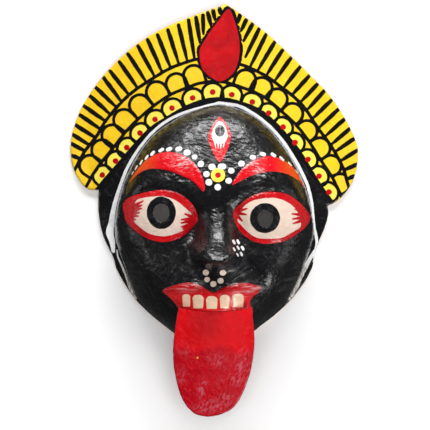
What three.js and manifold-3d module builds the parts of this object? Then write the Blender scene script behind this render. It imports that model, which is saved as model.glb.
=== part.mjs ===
// Kali mask: a hollow papier-mache face with its leaf-shaped crown moulded in one, and a tongue.
// Units are millimetres. The mask lies on its back: +X is the viewer's right, +Y runs up the
// face to the tip of the crown, +Z points out of the face, and the rim rests on z = 0.

import * as THREE from 'three';
import { mergeVertices } from 'three/addons/utils/BufferGeometryUtils.js';
import Module from 'manifold-3d';

// Shell and tongue thickness, and the lip thickened from behind where the tongue sits in it
const wall = 4;
const tongueThickness = 3;
const jointGap = 0.3;
const lipBacking = { y: -79, wide: 34, tall: 14, depth: 4.5 };

// Heights that the solids are cut at: the table, and planes clear above and below the mask
const tableZ = 0;
const aboveMask = 120;
const aboveSeat = 110;
const belowSolids = -1;
const belowCutters = -4;
const belowHollow = -5;

// Crown and hair plate: it rises from the chin to the crown along the centre line, and is swept
// back to the table at the wings
const crownFront = 17;
const chinRimFront = 8;
const plateRise = { fromY: -70, toY: 40 };
const plateSweep = 0.00144;

// Face dome: a superellipse section over the foot line of the face
const domeCentre = new THREE.Vector2(0, -27);
const domeFront = 50;
const domePower = 3.6;

// Reach of the plate's own grid, and the sink at the foot line that joins the face to it
const plateReach = { aside: 114, up: 156, down: 108 };
const footSink = 0.6;
const footShare = 0.9999;

// Behind the crown the hollow starts just above the lower edges of the two wings, and its roof
// dips under the table where the plate has come down to its own thickness
const wingFloor = { left: 19, right: 10 };
const wingSeal = 0.2;
const openMargin = 5;

// Tongue: a sheet that leaves the mouth under the teeth and droops towards its tip
const tongueRootY = -74;
const tongueFront = 56.5;
const tongueDroop = 12;
const tongueDroopPower = 1.6;
const tongueLength = 79;
const tongueCrossCurve = 0.0034;
const tongueCentreX = -0.5;
const tongueReach = { left: -34, right: 34, down: -158, up: -70 };

// Eye holes: centre and half width, half height
const eyeHoles = [
  { x: -39.1, y: -2.7, halfWidth: 6.1, halfHeight: 6.9 },
  { x: 37.6, y: -7.1, halfWidth: 5.8, halfHeight: 6.4 },
];

// Mesh density: cells across and up each surface, points round each line, and the directions in
// which the wall's ball is tried
const faceCells = { across: 42, up: 54 };
const hollowCells = { across: 26, up: 32 };
const plateCells = { across: 24, up: 9 };
const tongueCells = { across: 8, up: 12 };
const edgeCrowding = 0.3;
const outlineStep = 6;
const footSamples = 360;
const tongueSamples = 44;
const eyeHoleSamples = 20;
const ballShares = [0.5, 0.8, 0.98];
const ballDirections = 12;
const weldDistance = 1e-4;

// Edge of the mask, clockwise from the crown tip as four runs between its corners
const crownRightEdge = [
  [8.8, 153.5], [35.8, 134.4], [65, 107.4], [90.5, 80.4], [105.5, 53.4], [108.1, 41],
  [104, 21.1], [93.5, 6.9], [84.9, 2.4],
];
const jawRightEdge = [
  [84.9, 2.4], [85.6, -3], [82.9, -14], [77.2, -27.6], [72.7, -45.7], [57.6, -68.2],
  [36.6, -86.3], [17.8, -99.4], [0, -103.9],
];
const jawLeftEdge = [
  [0, -103.9], [-18.3, -100.2], [-39.3, -86.3], [-58.8, -68.2], [-73.1, -45.7],
  [-76.1, -35.9], [-84, -18.6], [-87.2, -0.6], [-86.9, 14.4],
];
const crownLeftEdge = [
  [-86.9, 14.4], [-95.5, 15.4], [-104.1, 26.4], [-108.2, 45.9], [-102.2, 71.4], [-85, 98.4],
  [-61.7, 120.9], [-37, 135.9], [-11.5, 146.4], [8.8, 153.5],
];

// Foot line, where the dome of the face rises out of the plate, anticlockwise from the top
const footLine = [
  [4.3, 78.1], [-23.5, 70.2], [-45.2, 56], [-59.1, 38], [-68.3, 18.5], [-73.7, -2.1],
  [-74.4, -21.6], [-67.7, -42.6], [-57.6, -67.3], [-39.2, -85.7], [-18.2, -99.5], [0, -102.9],
  [17.8, -98.8], [35.5, -86], [55.2, -68], [68, -41.1], [74.5, -21], [71, 7.6],
  [62.7, 29.7], [47.6, 53], [28.3, 70.4],
];

// Outline of the tongue, anticlockwise from the left end of its root
const tongueOutline = [
  [-26.7, -73.8], [-29.2, -89.4], [-30.4, -105.3], [-29.2, -120.8], [-22.8, -142.1],
  [-14.9, -151], [-4.5, -153.5], [6, -151.4], [14.8, -146.2], [25.2, -125.2], [29.5, -101],
  [28.4, -73.8],
];
const tongueRootBow = 1.4;

// Rounded forms of the face: centre, half widths along and across the tilt, height. They fade
// out between these shares of the way to the foot line
const formFade = { gone: 1, full: 0.86 };
const faceForms = [
  { name: 'swelling between the brows', x: 0, y: 20, long: 15, wide: 19, tilt: 0, height: 5.2 },
  { name: 'left cheek', x: -42.3, y: -44, long: 20, wide: 16, tilt: 0, height: 4.5 },
  { name: 'right cheek', x: 44.1, y: -44, long: 20, wide: 16, tilt: 0, height: 4.5 },
  { name: 'muzzle', x: -0.9, y: -57, long: 30, wide: 18, tilt: 0, height: 10.4 },
  { name: 'left half of the upper lip', x: -21.5, y: -60.5, long: 14, wide: 5, tilt: 8, height: 3 },
  { name: 'right half of the upper lip', x: 19.5, y: -60, long: 14, wide: 5, tilt: -6, height: 3 },
  { name: 'gum and teeth', x: -1, y: -69, long: 26, wide: 8, tilt: 0, height: 1.5 },
  { name: 'chin', x: 0, y: -84, long: 24, wide: 12, tilt: 0, height: 12 },
  { name: 'left hollow beside the nose', x: -15, y: -12, long: 14, wide: 6, tilt: 80, height: -3.6 },
  { name: 'right hollow beside the nose', x: 17.5, y: -12, long: 14, wide: 6, tilt: 100, height: -3.6 },
  { name: 'left fold to the mouth corner', x: -27, y: -44, long: 14, wide: 4, tilt: 48, height: -2.5 },
  { name: 'right fold to the mouth corner', x: 28, y: -43, long: 14, wide: 4, tilt: 132, height: -2.5 },
  { name: 'left nostril wing', x: -11, y: -31.5, long: 7.5, wide: 7, tilt: 0, height: 8.5 },
  { name: 'right nostril wing', x: 13, y: -34, long: 5.5, wide: 6.5, tilt: 0, height: 7.5 },
];

// Eyes: centre, half length and half height of the painted almond, and its tilt
const eyes = [
  { x: -39.7, y: -3.6, halfLength: 27, halfHeight: 18.5, tilt: -8 },
  { x: 41.9, y: -5.8, halfLength: 28, halfHeight: 18.5, tilt: -2 },
];
const eyeBulge = 4;

// The lid roll and the brow ridge arch over each eye. They fade in above its middle line and
// away from the middle of the nose
const lidRoll = { grow: 1.32, lift: 3, spread: 0.28 };
const browRidge = { grow: 2.1, lift: 2.2, spread: 0.28 };
const archLengthening = 0.55;
const archFade = { gone: 0.05, full: 0.7 };
const noseMiddle = 1;
const besideNose = 20;

// Nose ridge, from the bridge to the tip. Its lower edge rises towards the nostrils
const nose = {
  x: 2.7, bridgeY: 3, tipY: -38, bridgeHeight: 1, tipHeight: 21.5,
  bridgeWidth: 9, tipWidth: 14.5, aboveBridge: 9, flankPower: 2.8,
};
const noseLowerEdge = { y: -38, rise: 5, fade: 6 };
const noseBall = { y: -34.5, halfWidth: 13, halfHeight: 9.5, height: 3, power: 2.2 };

const shellEnamel = { color: 0x29292b, roughness: 0.3 };
const tongueEnamel = { color: 0xd01622, roughness: 0.35 };

const { clamp, lerp, degToRad } = THREE.MathUtils;

function smoothstep(from, to, value) {
  const t = clamp((value - from) / (to - from), 0, 1);
  return t * t * (3 - 2 * t);
}

// Points evenly spaced along a smooth line through the given points
function sampleLine(points, closed, count) {
  const knots = points.map(([x, y]) => new THREE.Vector3(x, y, 0));
  const curve = new THREE.CatmullRomCurve3(knots, closed, 'centripetal');
  const samples = curve.getSpacedPoints(count).map((p) => new THREE.Vector2(p.x, p.y));
  samples.pop();
  return samples;
}

function sampleRun(points) {
  const knots = points.map(([x, y]) => new THREE.Vector3(x, y, 0));
  const length = new THREE.CatmullRomCurve3(knots, false, 'centripetal').getLength();
  return sampleLine(points, false, Math.round(length / outlineStep));
}

// The outline moved along its normals, outwards for a positive distance; it runs anticlockwise
function offsetOutline(points, distance) {
  return points.map((point, i) => {
    const before = points[(i + points.length - 1) % points.length];
    const after = points[(i + 1) % points.length];
    const along = after.clone().sub(before).normalize();
    return new THREE.Vector2(point.x + along.y * distance, point.y - along.x * distance);
  });
}

// Distance from the dome centre to the foot line, by direction
const footSpokes = sampleLine(footLine, true, footSamples)
  .map((point) => point.clone().sub(domeCentre))
  .map((point) => ({ angle: point.angle(), radius: point.length() }))
  .sort((a, b) => a.angle - b.angle);

function footRadius(angle) {
  const turn = ((angle % (2 * Math.PI)) + 2 * Math.PI) % (2 * Math.PI);
  const next = footSpokes.findIndex((spoke) => spoke.angle > turn);
  const after = footSpokes[next < 0 ? 0 : next];
  const before = footSpokes[next <= 0 ? footSpokes.length - 1 : next - 1];
  const gap = (after.angle - before.angle + 2 * Math.PI) % (2 * Math.PI);
  const passed = (turn - before.angle + 2 * Math.PI) % (2 * Math.PI);
  return lerp(before.radius, after.radius, passed / gap);
}

function plateHeight(x, y) {
  const rise = smoothstep(plateRise.fromY, plateRise.toY, y);
  const centreLine = lerp(chinRimFront, crownFront, rise);
  return Math.max(wall, centreLine - plateSweep * x * x);
}

function formHeight(form, x, y) {
  const tilt = degToRad(form.tilt);
  const dx = x - form.x;
  const dy = y - form.y;
  const along = (dx * Math.cos(tilt) + dy * Math.sin(tilt)) / form.long;
  const across = (dy * Math.cos(tilt) - dx * Math.sin(tilt)) / form.wide;
  return form.height * Math.exp(-along * along - across * across);
}

// Eyeball bulge with its two arches
function eyeHeight(eye, x, y) {
  const tilt = degToRad(eye.tilt);
  const dx = x - eye.x;
  const dy = y - eye.y;
  const along = (dx * Math.cos(tilt) + dy * Math.sin(tilt)) / eye.halfLength;
  const up = (dy * Math.cos(tilt) - dx * Math.sin(tilt)) / eye.halfHeight;
  const reach = Math.hypot(along, up);
  const bulge = eyeBulge * Math.max(0, 1 - reach * reach);
  const arches = [lidRoll, browRidge].map(({ grow, lift, spread }) => {
    const wider = lerp(1, grow, archLengthening);
    const away = (Math.hypot(along / wider, up / grow) - 1) / spread;
    return lift * Math.exp(-away * away) * smoothstep(archFade.gone, archFade.full, up);
  });
  const aside = smoothstep(0, besideNose, Math.abs(x - noseMiddle));
  return bulge + (arches[0] + arches[1]) * aside;
}

function noseHeight(x, y) {
  const down = clamp((nose.bridgeY - y) / (nose.bridgeY - nose.tipY), 0, 1);
  const above = Math.max(0, y - nose.bridgeY) / nose.aboveBridge;
  const height = lerp(nose.bridgeHeight, nose.tipHeight, down);
  const aside = Math.abs(x - nose.x) / lerp(nose.bridgeWidth, nose.tipWidth, down);
  const edge = noseLowerEdge.y + noseLowerEdge.rise * aside * aside;
  const below = Math.max(0, edge - y) / noseLowerEdge.fade;
  const ridge = height * Math.exp(-(aside ** nose.flankPower) - above * above - below * below);
  const acrossBall = (x - nose.x) / noseBall.halfWidth;
  const upBall = (y - noseBall.y) / noseBall.halfHeight;
  const away = Math.hypot(acrossBall, upBall);
  return ridge + noseBall.height * Math.exp(-(away ** noseBall.power));
}

// How far a point lies on the way from the dome centre to the foot line
function faceShare(x, y) {
  const fromCentre = new THREE.Vector2(x, y).sub(domeCentre);
  return fromCentre.length() / footRadius(fromCentre.angle());
}

// Front surface of the whole mask
function frontHeight(x, y) {
  const plate = plateHeight(x, y);
  const rho = faceShare(x, y);
  if (rho >= 1) return plate;
  const dome = (domeFront - plate) * Math.sqrt(1 - rho ** domePower);
  const forms = faceForms.reduce((sum, form) => sum + formHeight(form, x, y), noseHeight(x, y));
  const eyeForms = eyes.reduce((sum, eye) => sum + eyeHeight(eye, x, y), 0);
  return plate + dome + (forms + eyeForms) * smoothstep(formFade.gone, formFade.full, rho);
}

// Back surface of the wall: the front surface set back by a ball as wide as the wall
function backHeight(x, y) {
  let height = frontHeight(x, y) - wall;
  for (const share of ballShares) {
    const reach = wall * share;
    const depth = Math.sqrt(wall * wall - reach * reach);
    for (let step = 0; step < ballDirections; step += 1) {
      const angle = (step * 2 * Math.PI) / ballDirections;
      const around = frontHeight(x + reach * Math.cos(angle), y + reach * Math.sin(angle));
      height = Math.min(height, around - depth);
    }
  }
  const aside = x / lipBacking.wide;
  const along = (y - lipBacking.y) / lipBacking.tall;
  return height - lipBacking.depth * Math.exp(-aside * aside - along * along);
}

function tongueTop(x, y) {
  const out = Math.max(0, (tongueRootY - y) / tongueLength);
  const aside = x - tongueCentreX;
  const droop = tongueDroop * out ** tongueDroopPower;
  return tongueFront - droop - tongueCrossCurve * aside * aside;
}

// Rows of points placed by a function of two shares that run from -1 to 1
function gridOf(cells, place) {
  return Array.from({ length: cells.up + 1 }, (_row, j) => (
    Array.from({ length: cells.across + 1 }, (_point, i) => (
      place((2 * i) / cells.across - 1, (2 * j) / cells.up - 1)
    ))
  ));
}

function rectangleGrid(cells, { left, right, down, up }) {
  return gridOf(cells, (s, t) => new THREE.Vector2(
    lerp(left, right, (s + 1) / 2),
    lerp(down, up, (t + 1) / 2),
  ));
}

// A square grid rounded to fill the foot line, with its cells crowded towards the edge
function faceGrid(cells) {
  const crowd = (share) => lerp(share, Math.sin((share * Math.PI) / 2), edgeCrowding);
  return gridOf(cells, (s, t) => {
    const [u, v] = [crowd(s), crowd(t)];
    const point = new THREE.Vector2(u * Math.sqrt(1 - (v * v) / 2), v * Math.sqrt(1 - (u * u) / 2));
    return point.multiplyScalar(footRadius(point.angle())).add(domeCentre);
  });
}

// Closed solid between two heights over a grid; each cell is split along its shorter diagonal
function slabOver(grid, upper, lower) {
  const [rows, columns] = [grid.length, grid[0].length];
  const layers = [upper, lower].map((height) => (
    grid.flat().map((point) => new THREE.Vector3(point.x, point.y, height(point.x, point.y)))
  ));
  const at = (i, j) => j * columns + i;
  const shift = rows * columns;
  const faces = [];
  for (let j = 0; j + 1 < rows; j += 1) {
    for (let i = 0; i + 1 < columns; i += 1) {
      const [a, b, c, d] = [at(i, j), at(i + 1, j), at(i + 1, j + 1), at(i, j + 1)];
      layers.forEach((points, layer) => {
        const straight = points[a].distanceTo(points[c]) <= points[b].distanceTo(points[d]);
        const pair = straight ? [[a, b, c], [a, c, d]] : [[a, b, d], [b, c, d]];
        for (const [p, q, r] of pair) {
          faces.push(layer === 0 ? [p, q, r] : [p + shift, r + shift, q + shift]);
        }
      });
    }
  }
  const rim = [];
  for (let i = 0; i + 1 < columns; i += 1) rim.push(at(i, 0));
  for (let j = 0; j + 1 < rows; j += 1) rim.push(at(columns - 1, j));
  for (let i = columns - 1; i > 0; i -= 1) rim.push(at(i, rows - 1));
  for (let j = rows - 1; j > 0; j -= 1) rim.push(at(0, j));
  rim.forEach((a, k) => {
    const b = rim[(k + 1) % rim.length];
    faces.push([a, a + shift, b + shift], [a, b + shift, b]);
  });
  const geometry = new THREE.BufferGeometry();
  geometry.setFromPoints(layers.flat());
  geometry.setIndex(faces.flat());
  return geometry;
}

function prismOver(outline, bottom, top) {
  const geometry = new THREE.ExtrudeGeometry(new THREE.Shape(outline), {
    depth: top - bottom,
    bevelEnabled: false,
  });
  return geometry.translate(0, 0, bottom);
}

const wasm = await Module();
wasm.setup();

function solidOf(geometry) {
  const bare = geometry.clone();
  bare.deleteAttribute('normal');
  bare.deleteAttribute('uv');
  const merged = mergeVertices(bare, weldDistance);
  return new wasm.Manifold(new wasm.Mesh({
    numProp: 3,
    vertProperties: new Float32Array(merged.attributes.position.array),
    triVerts: new Uint32Array(merged.index.array),
  }));
}

function geometryOf(solid) {
  const mesh = solid.getMesh();
  const geometry = new THREE.BufferGeometry();
  geometry.setAttribute('position', new THREE.BufferAttribute(mesh.vertProperties, 3));
  geometry.setIndex(new THREE.BufferAttribute(mesh.triVerts, 1));
  geometry.computeVertexNormals();
  return geometry;
}

function maskOutline() {
  const clockwise = [crownRightEdge, jawRightEdge, jawLeftEdge, crownLeftEdge].flatMap(sampleRun);
  return clockwise.reverse();
}

function plateGrid() {
  const { aside, up, down } = plateReach;
  return rectangleGrid(plateCells, { left: -aside, right: aside, down: -down, up });
}

// The face's own surface sinks a little into the plate at the foot line, to join it cleanly
function sunkAtFoot(height) {
  return (x, y) => (faceShare(x, y) > footShare ? height(x, y) - footSink : height(x, y));
}

// Outer form: the plate and the face standing on it, solid down to the table
function makeFront() {
  const floor = () => belowSolids;
  const plate = solidOf(slabOver(plateGrid(), plateHeight, floor));
  const face = solidOf(slabOver(faceGrid(faceCells), sunkAtFoot(frontHeight), floor));
  return plate.add(face).intersect(solidOf(prismOver(maskOutline(), tableZ, aboveMask)));
}

// Hollow: everything behind the wall, inside the rim of the hair and jaw, and open all round
// behind the crown, whose plate stands clear of the table between the wings
function makeHollow() {
  const underPlate = (x, y) => plateHeight(x, y) - wall - wingSeal;
  const floor = () => belowHollow;
  const behindPlate = solidOf(slabOver(plateGrid(), underPlate, floor));
  const behindFace = solidOf(slabOver(faceGrid(hollowCells), sunkAtFoot(backHeight), floor));
  const rim = [jawRightEdge, jawLeftEdge].flatMap(sampleRun).reverse();
  const inside = offsetOutline(rim, -wall).slice(1, -1);
  const beyond = plateReach.aside + openMargin;
  const above = plateReach.up + openMargin;
  inside.push(new THREE.Vector2(inside.at(-1).x, wingFloor.right));
  inside.push(new THREE.Vector2(beyond, wingFloor.right));
  inside.push(new THREE.Vector2(beyond, above));
  inside.push(new THREE.Vector2(-beyond, above));
  inside.push(new THREE.Vector2(-beyond, wingFloor.left));
  inside.push(new THREE.Vector2(inside[0].x, wingFloor.left));
  const within = solidOf(prismOver(inside, belowCutters, aboveMask));
  return behindPlate.add(behindFace).intersect(within);
}

function makeEyeHole({ x, y, halfWidth, halfHeight }) {
  const ellipse = new THREE.EllipseCurve(x, y, halfWidth, halfHeight);
  const outline = ellipse.getSpacedPoints(eyeHoleSamples).slice(1);
  return solidOf(prismOver(outline, belowCutters, aboveMask));
}

// Tongue sheet; grown by a clearance and carried up, it is the seat that it needs in the mouth
function makeTongue(clearance, upper) {
  const [first, last] = [tongueOutline[0], tongueOutline.at(-1)];
  const rootMiddle = [(first[0] + last[0]) / 2, tongueRootY - tongueRootBow];
  const line = sampleLine([...tongueOutline, rootMiddle], true, tongueSamples);
  const edge = offsetOutline(line, clearance);
  const under = (x, y) => tongueTop(x, y) - tongueThickness - clearance;
  const sheet = slabOver(rectangleGrid(tongueCells, tongueReach), upper, under);
  return solidOf(sheet).intersect(solidOf(prismOver(edge, tableZ, aboveMask)));
}

function makeShell() {
  const seat = makeTongue(jointGap, () => aboveSeat);
  const shell = makeFront().subtract(makeHollow()).subtract(seat);
  return eyeHoles.reduce((solid, hole) => solid.subtract(makeEyeHole(hole)), shell);
}

function namedMesh(name, geometry, enamel) {
  const material = new THREE.MeshStandardMaterial({ ...enamel, metalness: 0 });
  const mesh = new THREE.Mesh(geometry, material);
  mesh.name = name;
  return mesh;
}

const mask = new THREE.Group();
mask.name = 'kali_mask';
mask.add(namedMesh('mask_shell', geometryOf(makeShell()), shellEnamel));
mask.add(namedMesh('tongue', geometryOf(makeTongue(0, tongueTop)), tongueEnamel));

export default mask;
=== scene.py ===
import math

import bpy
import numpy as np
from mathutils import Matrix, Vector, kdtree
from mathutils.geometry import delaunay_2d_cdt


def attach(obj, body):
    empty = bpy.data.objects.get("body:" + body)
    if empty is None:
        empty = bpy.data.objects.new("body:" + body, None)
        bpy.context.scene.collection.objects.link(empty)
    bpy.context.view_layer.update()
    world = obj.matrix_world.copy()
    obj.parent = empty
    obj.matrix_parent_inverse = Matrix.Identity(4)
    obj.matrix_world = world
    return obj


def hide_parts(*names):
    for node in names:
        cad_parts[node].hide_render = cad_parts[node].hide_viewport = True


bl_info = {
    "name": "Kali Mask",
    "version": (1, 0, 0),
    "blender": (4, 5, 0),
    "location": "3D View > Sidebar > Kali Mask",
    "description": "Builds a painted papier-mache face mask with its tongue over the packed solids",
    "category": "Object",
}

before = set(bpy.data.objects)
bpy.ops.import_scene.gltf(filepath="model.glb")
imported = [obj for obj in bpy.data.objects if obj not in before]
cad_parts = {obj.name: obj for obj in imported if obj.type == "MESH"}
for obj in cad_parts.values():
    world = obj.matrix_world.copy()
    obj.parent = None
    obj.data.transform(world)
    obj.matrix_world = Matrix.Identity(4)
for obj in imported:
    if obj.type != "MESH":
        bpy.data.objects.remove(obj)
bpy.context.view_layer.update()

# Points and lines below are in millimetres on the mask: x to the viewer's right, y up the face.
MM = 0.001

# Edge of the mask, clockwise from the crown tip, as four runs between its corners
CROWN_RIGHT_EDGE = [
    (8.8, 153.5), (35.8, 134.4), (65, 107.4), (90.5, 80.4), (105.5, 53.4), (108.1, 41),
    (104, 21.1), (93.5, 6.9), (84.9, 2.4),
]
JAW_RIGHT_EDGE = [
    (84.9, 2.4), (85.6, -3), (82.9, -14), (77.2, -27.6), (72.7, -45.7), (57.6, -68.2),
    (36.6, -86.3), (17.8, -99.4), (0, -103.9),
]
JAW_LEFT_EDGE = [
    (0, -103.9), (-18.3, -100.2), (-39.3, -86.3), (-58.8, -68.2), (-73.1, -45.7),
    (-76.1, -35.9), (-84, -18.6), (-87.2, -0.6), (-86.9, 14.4),
]
CROWN_LEFT_EDGE = [
    (-86.9, 14.4), (-95.5, 15.4), (-104.1, 26.4), (-108.2, 45.9), (-102.2, 71.4), (-85, 98.4),
    (-61.7, 120.9), (-37, 135.9), (-11.5, 146.4), (8.8, 153.5),
]

# Foot of the face's dome on the plate
FOOT_LINE = [
    (4.3, 78.1), (-23.5, 70.2), (-45.2, 56), (-59.1, 38), (-68.3, 18.5), (-73.7, -2.1),
    (-74.4, -21.6), (-67.7, -42.6), (-57.6, -67.3), (-39.2, -85.7), (-18.2, -99.5), (0, -102.9),
    (17.8, -98.8), (35.5, -86), (55.2, -68), (68, -41.1), (74.5, -21), (71, 7.6),
    (62.7, 29.7), (47.6, 53), (28.3, 70.4),
]

# Edge of the tongue: down its left side, round the tip and up, and then its root
TONGUE_SIDES = [
    (-26.4, -72.6), (-27.6, -79), (-29.2, -89.4), (-30.4, -105.3), (-29.2, -120.8),
    (-22.8, -142.1), (-14.9, -151), (-4.5, -153.5), (6, -151.4), (14.8, -146.2), (25.2, -125.2),
    (29.5, -101), (29.2, -88), (28.4, -79), (28.1, -72.6),
]
TONGUE_ROOT = [(28.1, -72.6), (15, -74.8), (0.85, -75.6), (-14, -74.8), (-26.4, -72.6)]

# Rounded forms of the face: x, y, half length, half width, tilt in degrees, height
FACE_FORMS = {
    "swelling between the brows": (0, 20, 15, 19, 0, 5.2),
    "left cheek": (-42.3, -44, 20, 16, 0, 4.5),
    "right cheek": (44.1, -44, 20, 16, 0, 4.5),
    "muzzle": (-0.9, -57, 30, 18, 0, 10.4),
    "left half of the upper lip": (-21.5, -60.5, 14, 5, 8, 3),
    "right half of the upper lip": (19.5, -60, 14, 5, -6, 3),
    "gum and teeth": (-1, -69, 26, 8, 0, 1.5),
    "chin": (0, -84, 24, 12, 0, 12),
    "left hollow beside the nose": (-15, -12, 14, 6, 80, -3.6),
    "right hollow beside the nose": (17.5, -12, 14, 6, 100, -3.6),
    "left fold to the mouth corner": (-27, -44, 14, 4, 48, -2.5),
    "right fold to the mouth corner": (28, -43, 14, 4, 132, -2.5),
    "left nostril wing": (-11, -31.5, 7.5, 7, 0, 8.5),
    "right nostril wing": (13, -34, 5.5, 6.5, 0, 7.5),
}

# Bulges of the eyes: x, y, half length, half height, tilt in degrees
EYE_FORMS = [(-39.7, -3.6, 27, 18.5, -8), (41.9, -5.8, 28, 18.5, -2)]

# Pierced pupils: x, y, half width, half height
EYE_HOLES = [(-39.1, -2.7, 6.1, 6.9), (37.6, -7.1, 5.8, 6.4)]

# The three lines across the crown, from the hair outwards, each from the left end to the right
HAIR_LINE = [
    (-96, 5.5), (-85.3, 18.2), (-76, 29), (-66.7, 39.7), (-56.7, 51.1), (-46.7, 60.8),
    (-34.7, 68.5), (-22.7, 75.4), (-8.5, 80.9), (4.6, 82.4), (19.7, 79.4), (33.5, 73.9),
    (44.9, 64.8), (54.1, 54.8), (63.3, 43.6), (71.8, 29.7), (80.1, 16.7), (87.3, 6.9), (96, -6),
]
MIDDLE_LINE = [
    (-104, 4), (-96.1, 17.5), (-89.9, 28.3), (-83.6, 36.7), (-75.3, 46.7), (-66.7, 57.7),
    (-58.3, 66.4), (-46.8, 76.2), (-33.9, 85.1), (-20.8, 90.7), (-9.9, 94.4), (4, 95.5),
    (25, 89.5), (38, 83.4), (49.2, 74.3), (61.8, 62.6), (71.8, 49.7), (80.1, 36.6),
    (88.7, 23.6), (95.7, 9.2), (102, -6),
]
STRIPE_LINE = [
    (-112, 17), (-104.7, 30.2), (-97.2, 43.8), (-88.9, 54.3), (-82.1, 65.5), (-73.7, 75.9),
    (-63.9, 85.6), (-57.2, 90.8), (-44.4, 99), (-32.4, 105.7), (-20.4, 110.1), (-11.4, 112.3),
    (20.7, 107.9), (28.2, 104.9), (38.7, 99.7), (47.7, 93.3), (58.2, 85.3), (66.5, 77.4),
    (77.8, 60.9), (86.2, 49.7), (91.8, 40.7), (97.3, 29.8), (100.4, 19), (102, 15.2), (108, 0),
]

# Stripes of the crown: outer end and inner end
CROWN_STRIPES = [
    (-107, 40.4, -101, 38.1), (-107.7, 49.4, -97.2, 43.8), (-107, 56.5, -93.4, 47.9),
    (-104.4, 63.3, -88.9, 53.5), (-101, 70.8, -85.1, 59.9), (-98, 77.6, -81.3, 65.8),
    (-93.4, 85.1, -77.9, 71.1), (-88.9, 91.4, -73.7, 76.7), (-83.2, 98.9, -69.6, 80.4),
    (-78.3, 103.7, -63.9, 85.6), (-71.1, 110.4, -57.5, 90.8), (-64.7, 116.4, -51.2, 95.6),
    (-57.2, 122.3, -44.8, 99.4), (-50, 127.1, -39.1, 102.7), (-42.5, 130.4, -32.8, 106),
    (-34.7, 134.1, -26.8, 109.4), (-26.8, 137.8, -20.4, 111.6), (-19.3, 141.5, -14.8, 112.3),
    (-13.7, 143.7, -10.7, 124.3), (-8.5, 145.2, -8.1, 131), (-5.1, 147.5, -2.1, 136.3),
    (-1, 149, 0.5, 141.5), (3.9, 150.5, 4.6, 146), (19.6, 146.8, 17.7, 139.6),
    (24.5, 143, 20, 133.3), (29, 139.3, 21.8, 125.8), (33.8, 135.6, 23.3, 113.9),
    (39.1, 131.5, 27.1, 107.1), (45.5, 125.6, 32.7, 104.2), (51.1, 119.2, 39.1, 100.4),
    (57.8, 114, 45.5, 96.4), (64.2, 106.6, 52.2, 91.2), (71, 99.9, 58.6, 86),
    (77.8, 94.3, 65, 80.7), (83.1, 89.5, 70.3, 75.2), (88, 82, 74.1, 68.4),
    (93.4, 75.3, 78.6, 61.3), (98.3, 68.2, 83.9, 55.3), (102.4, 61.1, 88.4, 49),
    (105.8, 53.5, 91.5, 43.7), (108.4, 44.9, 95.3, 36.6), (108, 34, 97.5, 29.5),
    (105.4, 25, 100.1, 22.7),
]

# Middles of the scallops
PLAIN_SCALLOPS = [
    (-93.7, 32.9), (-84.5, 44.5), (-76.8, 55.7), (-67.9, 67.2), (-56, 78.1), (-43.3, 87.9),
    (-28.4, 93.9), (-15.4, 100), (23.3, 96.6), (35.6, 90.9), (47, 82.5), (58.7, 71.7),
    (69.5, 58.8), (79.3, 45.9), (87.7, 32.8), (94.2, 19),
]
DOTTED_SCALLOPS = [
    (-84.1, 25.7), (-74.1, 36.2), (-65.6, 46.2), (-55.7, 57.1), (-44.4, 67.2), (-31.7, 75.7),
    (-16.2, 83.2), (-1.3, 87.6), (13, 85.7), (28.4, 80.2), (40.7, 72), (51.5, 61.6),
    (60.5, 50), (70.3, 37.4), (78.6, 24.9), (86.1, 12.9),
]

# Crimson drop in the middle of the crown
DROP = [
    (10.8, 149.7), (3.5, 141.5), (-6.2, 128), (-10.7, 119.8), (-10.8, 112.3), (-8.5, 104.1),
    (-1, 97.7), (4.3, 95.5), (13.6, 101.1), (18.1, 111.6), (18.9, 124.3), (16.1, 137.8),
]

# Painted shapes of the face
THIRD_EYE = [
    (3.9, 68.4), (-2.4, 60.1), (-4.7, 54.1), (-2.4, 45.2), (4.1, 34.8), (9.8, 44.4),
    (12.4, 54.1), (10.2, 60.9),
]
THIRD_EYE_WHITE = [
    (4.1, 65.4), (-0.6, 59.7), (-1.9, 55.6), (-1.3, 51.9), (0.2, 49.1), (3.9, 48.6),
    (7.4, 49.1), (9.3, 51.9), (9.7, 55.6), (8.7, 59.7),
]
THIRD_EYE_PUPIL = [
    (4.2, 62.7), (1.3, 60.9), (0.4, 57.9), (1.6, 54.9), (4.2, 53.7), (6.8, 54.9), (7.9, 57.9),
    (7, 60.9),
]

# White strokes that hang from the third eye: upper end and lower end
THIRD_EYE_DRIPS = [
    (0.4, 50.5, 1, 45.3), (2.7, 50, 2.9, 45), (4.8, 50, 4.7, 44.4), (7.3, 50.5, 6.7, 45.6),
]

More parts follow.
